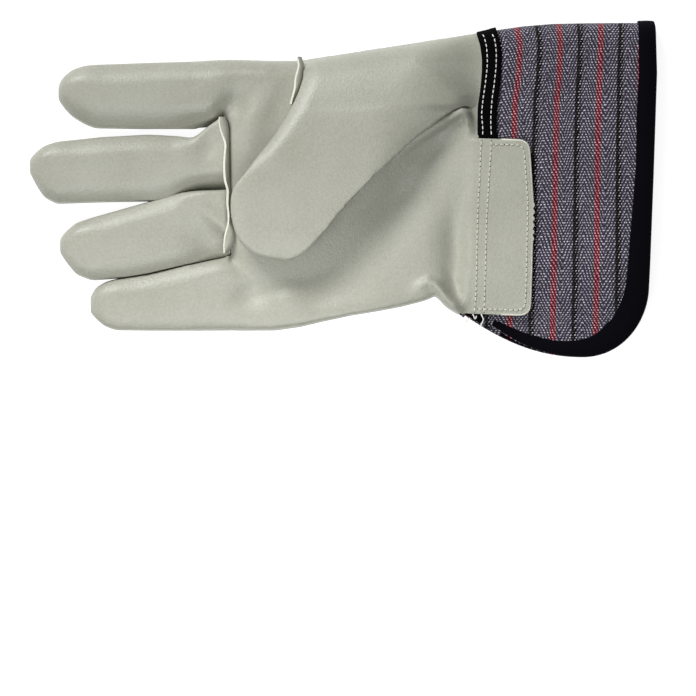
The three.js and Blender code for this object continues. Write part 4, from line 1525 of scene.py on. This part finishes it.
def stitch_row(name, line, trees, size):
    """Copies of the stitch along a plan line, each lying on the surface."""
    steps = spaced(line, STITCH_PITCH)
    shape = stitch_shape()
    points, faces = [], []
    for (ax, ay), (bx, by) in zip(steps, steps[1:]):
        place, up = dropped(trees, (ax + bx) / 2, (ay + by) / 2)
        if place is None:
            continue
        along = np.array([bx - ax, by - ay, 0])
        along = unit(along - up * along.dot(up))
        across = np.cross(up, along)
        faces += tube_faces(len(shape), len(shape[0]), len(points))
        for ring in shape:
            for u, v, w in ring * size:
                rise = w + STITCH_WIDE * size / 2 - SINK
                points.append(place + along * u + across * v + up * rise)
    return facing_out(mesh_object(name, points, faces))


# %% Lines of the rows on the tape and on the patch
# each row as x, y points from the fold down over the tape and the patch
WRIST_ROWS = [
    [(59.6, 67.0), (60.6, 64.5), (61.3, 60.9), (61.6, 56.6), (61.6, 52.7), (60.8, 45.6),
     (59.7, 38.1), (59.1, 32.4), (59.7, 25.6), (59.5, 22.4), (58.8, 18.0), (58.4, 5.8),
     (57.7, -4.9), (57.4, -12.3), (56.8, -44.5), (56.2, -53.2)],
    [(63.2, 67.8), (64.5, 65.5), (65.2, 62.0), (65.5, 57.7), (65.4, 52.7), (64.6, 45.2),
     (63.6, 38.4), (63.1, 31.3), (63.1, 27.7), (63.4, 22.4), (63.1, 15.1), (62.4, 6.2),
     (61.8, -4.1), (61.3, -12.0), (60.5, -44.7), (60.3, -53.2)],
]
ON_TAPE = (67.0, 22.4)  # from y, to y
ON_PATCH = (20.6, -53.2)
ROW_STEP = 0.8
INNER_CORNERS = [(64.5, 19.1), (77.2, 18.7), (79.0, -6.0), (78.0, -52.2), (57.4, -51.6)]
INNER_RADIUS = PATCH_RADIUS - 2.0


def part_of_row(row, part):
    return [(float(on_line(row, y)), y) for y in np.arange(*part, -ROW_STEP)]


tape_lines = [part_of_row(row, ON_TAPE) for row in WRIST_ROWS]
patch_lines = [part_of_row(row, ON_PATCH) for row in WRIST_ROWS]
patch_lines.append(rounded(INNER_CORNERS, INNER_RADIUS, SQUARE_CORNERS))
print("lines of stitches:", len(tape_lines) + len(patch_lines))

# %% Sewing
TAPE_STITCH, PATCH_STITCH = 0.9, 1.05  # sizes, as shares of the stitch's own

tape_surface = surface_of(tape)
palm_surface = surface_of(palm)
tape_rows = [
    stitch_row(f"tape_stitches_{i + 1}", line, tape_surface, TAPE_STITCH)
    for i, line in enumerate(tape_lines)
]
patch_rows = [
    stitch_row(f"patch_stitches_{i + 1}", line, palm_surface, PATCH_STITCH)
    for i, line in enumerate(patch_lines)
]
print("faces of the stitches:", [len(row.data.polygons) for row in tape_rows + patch_rows])

# %% Needle holes
# Each needle hole is a dark spot: painted shade where the thread goes into the leather.
HOLE_RADIUS = 0.3
FLAT_TOP = 0.6  # radius of the spot's flat top, as a share
RIM_LIFT, TOP_LIFT = 0.02, 0.06  # heights of its rim and its top over the leather
HOLE_DEPTH = 0.35


def needle_holes(name, lines, trees):
    """A dark spot of painted shade, sunk into the leather, at the end of each stitch."""
    points, faces = [], []
    for line in lines:
        for x, y in spaced(line, STITCH_PITCH):
            place, up = dropped(trees, x, y)
            if place is None:
                continue
            start = len(points)
            side = unit(np.cross(up, [0, 1, 0]))
            ahead = np.cross(up, side)
            ring = [(side * math.cos(a) + ahead * math.sin(a)) * HOLE_RADIUS for a in SIX_WAYS]
            points += [place + spoke + up * RIM_LIFT for spoke in ring]
            points += [place + spoke * FLAT_TOP + up * TOP_LIFT for spoke in ring]
            points += [place - up * HOLE_DEPTH]
            for s in range(6):
                t = (s + 1) % 6
                faces.append((start + s, start + t, start + 6 + t, start + 6 + s))
                faces.append((start + t, start + s, start + 12))
            faces.append(tuple(start + 6 + s for s in range(6)))
    return facing_out(mesh_object(name, points, faces))


holes = needle_holes("patch_needle_holes", patch_lines, palm_surface)
print("faces of the needle holes:", len(holes.data.polygons))

# %% Cut edge of the pulse patch
EDGE_STEP = 0.45
EDGE_FROM = 67.5  # it shows from this x on, past the tape
EDGE_LOOK = 0.7  # the surface's height is taken this far inside the outline
EDGE_SECTION = [
    (0.5, 0.02), (0.15, 0.0), (-0.15, -0.35), (-0.15, -LEATHER), (0.4, -LEATHER), (0.5, -0.4),
]


def edge_path(line, trees):
    """The patch's outline on the leather's surface, with the direction to its inside."""
    steps = spaced(line, EDGE_STEP)
    way = eased(np.gradient(steps, axis=0), 1)
    rows = []
    for (x, y), (along_x, along_y) in zip(steps, way):
        inward = np.array([along_y, -along_x, 0])
        place, _ = dropped(trees, x + inward[0] * EDGE_LOOK, y + inward[1] * EDGE_LOOK)
        if place is not None:
            rows.append((np.array([x, y, place[2]]), np.array([0, 0, 1.0]), inward))
    return rows


past_tape = [p for p in patch_line if p[0] > EDGE_FROM]
patch_edge = swept("patch_cut_edge", edge_path(past_tape, palm_surface), EDGE_SECTION)
print("patch edge faces:", len(patch_edge.data.polygons))

# %% Loose thread ends at the end of the tape
THREADS = [
    [(55.4, -53.8, 11.6), (56.0, -55.2, 11.6), (56.5, -55.9, 11.2), (57.0, -54.6, 11.6)],
    [(59.0, -53.8, 11.6), (59.5, -55.0, 11.6), (60.0, -56.0, 11.2), (59.5, -57.4, 10.6),
     (58.8, -58.7, 10.2), (57.2, -59.2, 9.8)],
    [(52.4, -57.2, 9.6), (53.2, -56.4, 10.4), (54.2, -55.5, 10.8)],
]
THREAD_RADIUS = 0.27


def thread_tube(points):
    line = spaced(between_ribs(points, 8), 0.5)
    rings = []
    ways = eased(np.gradient(line, axis=0), 1)
    for point, way in zip(line, ways):
        side = unit(np.cross(way, [0.2, 0.1, 1.0]))
        other = np.cross(way, side)
        rings.append(np.array([
            point + (side * math.cos(a) + other * math.sin(a)) * THREAD_RADIUS for a in SIX_WAYS
        ]))
    return lofted("thread", rings)


threads = [thread_tube(points) for points in THREADS]
loose_threads = joined(threads[0], threads[1:])
loose_threads.name = "loose_thread_ends"
print("thread faces:", len(loose_threads.data.polygons))

# %% [markdown]
# ## Finishes
#
# The leather is a smooth pale hide with a fine pebbled grain and faint mottling. The cloth is a
# herringbone twill of violet-grey and white yarns with red and black stripes. Tape and binding
# are near-black twill. Grain, twill and mottling are used by more than one finish, so each is
# a node group with named sockets. All read object coordinates or the cloth's own UV map.

# %% Helpers for nodes
def new_group(name, inputs, outputs):
    group = bpy.data.node_groups.new(name, "ShaderNodeTree")
    for label, kind, value in inputs:
        socket = group.interface.new_socket(label, in_out="INPUT", socket_type=kind)
        if value is not None:
            socket.default_value = value
    for label, kind in outputs:
        group.interface.new_socket(label, in_out="OUTPUT", socket_type=kind)
    return group, group.nodes.new("NodeGroupInput"), group.nodes.new("NodeGroupOutput")


def feed(tree, socket, value):
    if isinstance(value, bpy.types.NodeSocket):
        tree.links.new(value, socket)
    else:
        socket.default_value = value


def maths(tree, operation, *values):
    node = tree.nodes.new("ShaderNodeMath")
    node.operation = operation
    for socket, value in zip(node.inputs, values):
        feed(tree, socket, value)
    return node.outputs[0]


def noise(tree, vector, scale, detail=2.0, roughness=0.5):
    node = tree.nodes.new("ShaderNodeTexNoise")
    feed(tree, node.inputs["Vector"], vector)
    feed(tree, node.inputs["Scale"], scale)
    node.inputs["Detail"].default_value = detail
    node.inputs["Roughness"].default_value = roughness
    return node.outputs["Fac"]


# %% Helpers for colours
def mixed(tree, share, first, second, blend="MIX"):
    node = tree.nodes.new("ShaderNodeMix")
    node.data_type = "RGBA"
    node.blend_type = blend
    feed(tree, node.inputs["Factor"], share)
    feed(tree, node.inputs["A"], first)
    feed(tree, node.inputs["B"], second)
    return node.outputs["Result"]


def srgb(red, green, blue):
    """A colour from its screen values."""
    parts = [c / 255 for c in (red, green, blue)]
    return tuple(c / 12.92 if c < 0.04045 else ((c + 0.055) / 1.055) ** 2.4 for c in parts) + (1.0,)


def smooth_step(tree, value, low, high):
    node = tree.nodes.new("ShaderNodeMapRange")
    node.interpolation_type = "SMOOTHSTEP"
    feed(tree, node.inputs["Value"], value)
    node.inputs["From Min"].default_value = low
    node.inputs["From Max"].default_value = high
    return node.outputs["Result"]


# %% Group: pebbled grain
grain, grain_in, grain_out = new_group(
    "pebbled_grain",
    [("Vector", "NodeSocketVector", None), ("Pebbles", "NodeSocketFloat", 900.0),
     ("Wrinkle", "NodeSocketFloat", 0.35)],
    [("Height", "NodeSocketFloat"), ("Pores", "NodeSocketFloat")],
)
cells = grain.nodes.new("ShaderNodeTexVoronoi")
cells.feature = "SMOOTH_F1"
grain.links.new(grain_in.outputs["Vector"], cells.inputs["Vector"])
grain.links.new(grain_in.outputs["Pebbles"], cells.inputs["Scale"])
long_wrinkles = noise(grain, grain_in.outputs["Vector"], 160.0, 4.0, 0.6)
pebble = maths(grain, "SUBTRACT", 1.0, cells.outputs["Distance"])
wrinkled = maths(grain, "MULTIPLY", long_wrinkles, grain_in.outputs["Wrinkle"])
grain.links.new(maths(grain, "ADD", pebble, wrinkled), grain_out.inputs["Height"])
grain.links.new(smooth_step(grain, cells.outputs["Distance"], 0.45, 0.9), grain_out.inputs["Pores"])

# %% Group: uneven tone
tone, tone_in, tone_out = new_group(
    "uneven_tone",
    [("Vector", "NodeSocketVector", None), ("Patches", "NodeSocketFloat", 30.0),
     ("Specks", "NodeSocketFloat", 700.0)],
    [("Patch", "NodeSocketFloat"), ("Speck", "NodeSocketFloat")],
)
# columns: scale's socket, result's socket, detail, roughness
CLOUDS = [("Patches", "Patch", 3.0, 0.55), ("Specks", "Speck", 2.0, 0.6)]
for scale, result, detail, roughness in CLOUDS:
    cloud = noise(tone, tone_in.outputs["Vector"], tone_in.outputs[scale], detail, roughness)
    tone.links.new(cloud, tone_out.inputs[result])

# %% Group: twill ribs
twill, twill_in, twill_out = new_group(
    "twill_ribs",
    [("Across", "NodeSocketFloat", 0.0), ("Along", "NodeSocketFloat", 0.0),
     ("Rib", "NodeSocketFloat", 0.001), ("Yarn", "NodeSocketFloat", 0.0009)],
    [("Height", "NodeSocketFloat"), ("Rib mask", "NodeSocketFloat")],
)


def wave(tree, place, length):
    """A wave from 0 to 1 with this length."""
    turn = maths(tree, "MULTIPLY", maths(tree, "DIVIDE", place, length), 2 * math.pi)
    return maths(tree, "MULTIPLY_ADD", maths(tree, "SINE", turn), 0.5, 0.5)


rib_wave = wave(twill, twill_in.outputs["Across"], twill_in.outputs["Rib"])
yarn_wave = wave(twill, twill_in.outputs["Along"], twill_in.outputs["Yarn"])
twill.links.new(rib_wave, twill_out.inputs["Rib mask"])
knotted = maths(twill, "MULTIPLY", rib_wave, maths(twill, "MULTIPLY_ADD", yarn_wave, 0.85, 0.15))
twill.links.new(knotted, twill_out.inputs["Height"])
print("node groups:", grain.name, tone.name, twill.name)


# %% Helpers for materials
def finish(name, **constants):
    look = bpy.data.materials.new(name)
    look.use_nodes = True
    shader = look.node_tree.nodes["Principled BSDF"]
    for socket, value in constants.items():
        shader.inputs[socket.replace("_", " ")].default_value = value
    return look, look.node_tree, shader


def group_node(tree, group, **values):
    node = tree.nodes.new("ShaderNodeGroup")
    node.node_tree = group
    for socket, value in values.items():
        feed(tree, node.inputs[socket], value)
    return node


def object_place(tree):
    return tree.nodes.new("ShaderNodeTexCoord").outputs["Object"]


def bumped(tree, shader, height, distance, strength):
    node = tree.nodes.new("ShaderNodeBump")
    node.inputs["Distance"].default_value = distance
    node.inputs["Strength"].default_value = strength
    feed(tree, node.inputs["Height"], height)
    tree.links.new(node.outputs["Normal"], shader.inputs["Normal"])


# %% Leather
GRAIN_DEPTH = 0.0002
PORES = 0.1  # how much the pores darken the leather


def leather_finish(name, light, dark, roughness, pebbles):
    look, tree, shader = finish(name, IOR=1.46, Specular_IOR_Level=0.55)
    place = object_place(tree)
    hide = group_node(tree, grain, Vector=place, Pebbles=pebbles)
    blotch = group_node(tree, tone, Vector=place, Patches=34.0, Specks=900.0)
    share = maths(tree, "MULTIPLY", blotch.outputs["Patch"], 0.5)
    share = maths(tree, "MULTIPLY_ADD", blotch.outputs["Speck"], 0.6, share)
    colour = mixed(tree, smooth_step(tree, share, 0.3, 0.8), dark, light)
    pores = maths(tree, "MULTIPLY", hide.outputs["Pores"], PORES)
    colour = mixed(tree, pores, colour, tuple(c * 0.6 for c in dark[:3]) + (1,))
    tree.links.new(colour, shader.inputs["Base Color"])
    rough = maths(tree, "MULTIPLY_ADD", blotch.outputs["Patch"], 0.14, roughness)
    tree.links.new(rough, shader.inputs["Roughness"])
    bumped(tree, shader, hide.outputs["Height"], GRAIN_DEPTH, 0.55)
    return look


HIDE, HIDE_SHADE = srgb(166, 167, 155), srgb(151, 152, 139)
RAW, RAW_SHADE = srgb(226, 226, 213), srgb(208, 208, 193)
leather_look = leather_finish("pale_leather", HIDE, HIDE_SHADE, 0.37, 1400.0)
raw_look = leather_finish("raw_leather_edge", RAW, RAW_SHADE, 0.75, 1700.0)
print("leather finishes:", leather_look.name, raw_look.name)


# %% Places on the cloth
def cloth_place(tree):
    node = tree.nodes.new("ShaderNodeUVMap")
    node.uv_map = "cloth"
    split = tree.nodes.new("ShaderNodeSeparateXYZ")
    tree.links.new(node.outputs["UV"], split.inputs["Vector"])
    return split.outputs["X"], split.outputs["Y"]


def near_line(tree, across, middle, half_width, soft):
    """1 on a stripe that repeats with the cloth's pattern, 0 off it."""
    moved = maths(tree, "SUBTRACT", across, (FIRST_STRIPE + middle) * MM)
    period = STRIPE_PERIOD * MM
    off = maths(tree, "PINGPONG", moved, period / 2)
    edge = smooth_step(tree, off, (half_width - soft) * MM, (half_width + soft) * MM)
    return maths(tree, "SUBTRACT", 1.0, edge)


# %% Striped herringbone
CHEVRON_START = 3.4  # the ribs turn back this far to the right of the red stripes, on average
WANDER = 5.0  # the places where they turn wander over this much
RIB_SLOPE = -2.1  # how far a rib climbs along the stripes for each step across them
RIB = 3.0  # from one rib to the next, along the stripes
YARN = 1.15  # from one white dot to the next
RAGGED = 2.4  # the ribs' edges are displaced by up to this much
STRIPE_HALF = 1.25  # half the width of a red or black stripe
GAP_DARK, RED_DARK, RED_LIGHT = srgb(40, 36, 48), srgb(70, 8, 16), srgb(240, 184, 188)


def herringbone_finish(name, ground, weft, red, black):
    look, tree, shader = finish(name, Roughness=0.86, Specular_IOR_Level=0.2)
    across, along = cloth_place(tree)
    half = STRIPE_PERIOD / 2
    blotch = group_node(tree, tone, Vector=object_place(tree), Patches=60.0, Specks=1100.0)
    speck = blotch.outputs["Speck"]
    wander = maths(tree, "MULTIPLY_ADD", blotch.outputs["Patch"], WANDER * MM, across)
    turning = maths(tree, "SUBTRACT", wander, (FIRST_STRIPE + CHEVRON_START + WANDER / 2) * MM)
    chevron = maths(tree, "PINGPONG", turning, half * MM)
    slope = maths(tree, "MULTIPLY_ADD", chevron, RIB_SLOPE, along)
    slope = maths(tree, "MULTIPLY_ADD", speck, RAGGED * MM, slope)
    ribs = group_node(tree, twill, Across=slope, Along=along, Rib=RIB * MM, Yarn=YARN * MM)
    rib_mask = ribs.outputs["Rib mask"]
    # the white yarn comes to the top in dots, some of them brighter
    dots = smooth_step(tree, ribs.outputs["Height"], 0.4, 0.95)
    bright = maths(tree, "MULTIPLY_ADD", smooth_step(tree, speck, 0.38, 0.64), 0.85, 0.4)
    light = maths(tree, "MULTIPLY", dots, bright)
    deep = mixed(tree, smooth_step(tree, rib_mask, 0.0, 0.5), GAP_DARK, ground)
    base = mixed(tree, light, deep, weft)
    dark_red = mixed(tree, smooth_step(tree, rib_mask, 0.0, 0.8), RED_DARK, red)
    red_yarn = mixed(tree, light, dark_red, RED_LIGHT)
    # the black stripe has a line of white dots right of its middle
    dotted = near_line(tree, across, half + 0.55, 0.5, 0.2)
    black_share = maths(tree, "ADD", dotted, 0.12)
    black_yarn = mixed(tree, maths(tree, "MULTIPLY", light, black_share), black, weft)
    colour = mixed(tree, near_line(tree, across, 0.0, STRIPE_HALF, 0.25), base, red_yarn)
    colour = mixed(tree, near_line(tree, across, half, STRIPE_HALF, 0.15), colour, black_yarn)
    dim = maths(tree, "MULTIPLY_ADD", blotch.outputs["Patch"], 0.3, 0.85)
    tree.links.new(mixed(tree, 1.0, colour, dim, "MULTIPLY"), shader.inputs["Base Color"])
    bumped(tree, shader, ribs.outputs["Height"], 0.0003, 0.6)
    return look


# %% The two striped cloths
GROUND, RED, BLACK = srgb(66, 61, 75), srgb(124, 42, 56), srgb(2, 2, 3)
striped_look = herringbone_finish("striped_herringbone", GROUND, srgb(218, 216, 226), RED, BLACK)
back_look = herringbone_finish("striped_back_cloth", GROUND, srgb(214, 211, 221), RED, BLACK)
print("cloth finishes:", striped_look.name, back_look.name)


# %% Tape and binding
def band_finish(name, colour, light, rib):
    look, tree, shader = finish(name, Roughness=0.95, Specular_IOR_Level=0.08)
    place = object_place(tree)
    split = tree.nodes.new("ShaderNodeSeparateXYZ")
    tree.links.new(place, split.inputs["Vector"])
    slope = maths(tree, "MULTIPLY_ADD", split.outputs["X"], 1.7, split.outputs["Y"])
    ribs = group_node(tree, twill, Across=slope, Along=split.outputs["Y"], Rib=rib, Yarn=rib * 0.6)
    blotch = group_node(tree, tone, Vector=place, Patches=80.0, Specks=1500.0)
    share = maths(tree, "MULTIPLY", ribs.outputs["Height"], blotch.outputs["Speck"])
    tree.links.new(mixed(tree, share, colour, light), shader.inputs["Base Color"])
    bumped(tree, shader, ribs.outputs["Height"], 0.0002, 0.5)
    return look


tape_look = band_finish("black_wrist_tape", srgb(1, 1, 2), srgb(5, 5, 8), 1.1 * MM)
binding_look = band_finish("black_binding", srgb(3, 2, 7), srgb(13, 12, 21), 1.5 * MM)
print("band finishes:", tape_look.name, binding_look.name)


# %% Thread
def thread_finish(name, colour, shade):
    look, tree, shader = finish(name, Roughness=0.7)
    blotch = group_node(tree, tone, Vector=object_place(tree), Patches=200.0, Specks=3000.0)
    tree.links.new(mixed(tree, blotch.outputs["Speck"], shade, colour), shader.inputs["Base Color"])
    return look


white_thread = thread_finish("white_thread", srgb(245, 244, 240), srgb(205, 203, 198))
leather_thread = thread_finish("leather_thread", srgb(214, 214, 202), srgb(184, 184, 168))
# the needle holes' dark colour is painted shade
painted_hole_shade = thread_finish("painted_needle_hole_shade", srgb(70, 70, 60), srgb(40, 40, 34))
print("thread finishes:", white_thread.name, leather_thread.name, painted_hole_shade.name)

# %% Dressing the pieces
BACK_STRIPE_START = 18.0  # a red stripe of the back lies this far from its middle


def map_back(obj):
    """The back's stripes run along the fingers."""
    uv = obj.data.uv_layers.new(name="cloth")
    for loop in obj.data.loops:
        x, y, _ = obj.data.vertices[loop.vertex_index].co
        uv.data[loop.index].uv = (y + BACK_STRIPE_START * MM, x)


map_back(back)
leathers = [palm, middle_front, ring_front, thumb, thumb_inner, finger_welt, thumb_welt]
dressed = [
    *((piece, [leather_look, raw_look]) for piece in (*leathers, *fingertips.values())),
    *((row, [white_thread]) for row in (*tape_rows, loose_threads)),
    *((row, [leather_thread]) for row in patch_rows),
    (back, [back_look]), (cuff, [striped_look]), (tape, [tape_look]), (binding, [binding_look]),
    (holes, [painted_hole_shade]), (patch_edge, [raw_look]),
]
SHARP = math.radians(50)
for piece, looks in dressed:
    for look in looks:
        piece.data.materials.append(look)
    use(piece)
    bpy.ops.object.shade_smooth_by_angle(angle=SHARP)
print("pieces dressed:", len(dressed))

# %% [markdown]
# ## Into the frame
#
# Every piece rides on the glove's one body, and the frame's plain solid that a piece stands for is
# hidden.

# %% Riding and replacing
stands_for = [
    (palm, "leather", ["palm_leather"]),
    (middle_front, "leather", ["middle_finger_leather"]),
    (ring_front, "leather", ["ring_finger_leather"]),
    (thumb, "leather", ["thumb_leather"]),
    (thumb_inner, "leather", ["thumb_inner_leather"]),
    (back, "back_fabric", ["back_fabric"]),
    (finger_welt, "raw_leather_edge", ["finger_seam_welt"]),
    (thumb_welt, "raw_leather_edge", ["thumb_seam_welt"]),
    (cuff, "striped_fabric", ["cuff_fabric"]),
    (tape, "black_tape", ["wrist_tape"]),
    (binding, "black_binding", ["hem_binding"]),
    *[(tip, "leather", [f"{name}_fingertip"]) for name, tip in fingertips.items()],
]
for piece, slot, nodes in stands_for:
    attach(piece, "root")
    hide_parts(*nodes)
for piece in (*tape_rows, *patch_rows, holes, loose_threads, patch_edge):
    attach(piece, "root")
print("pieces that replace nodes:", len(stands_for))
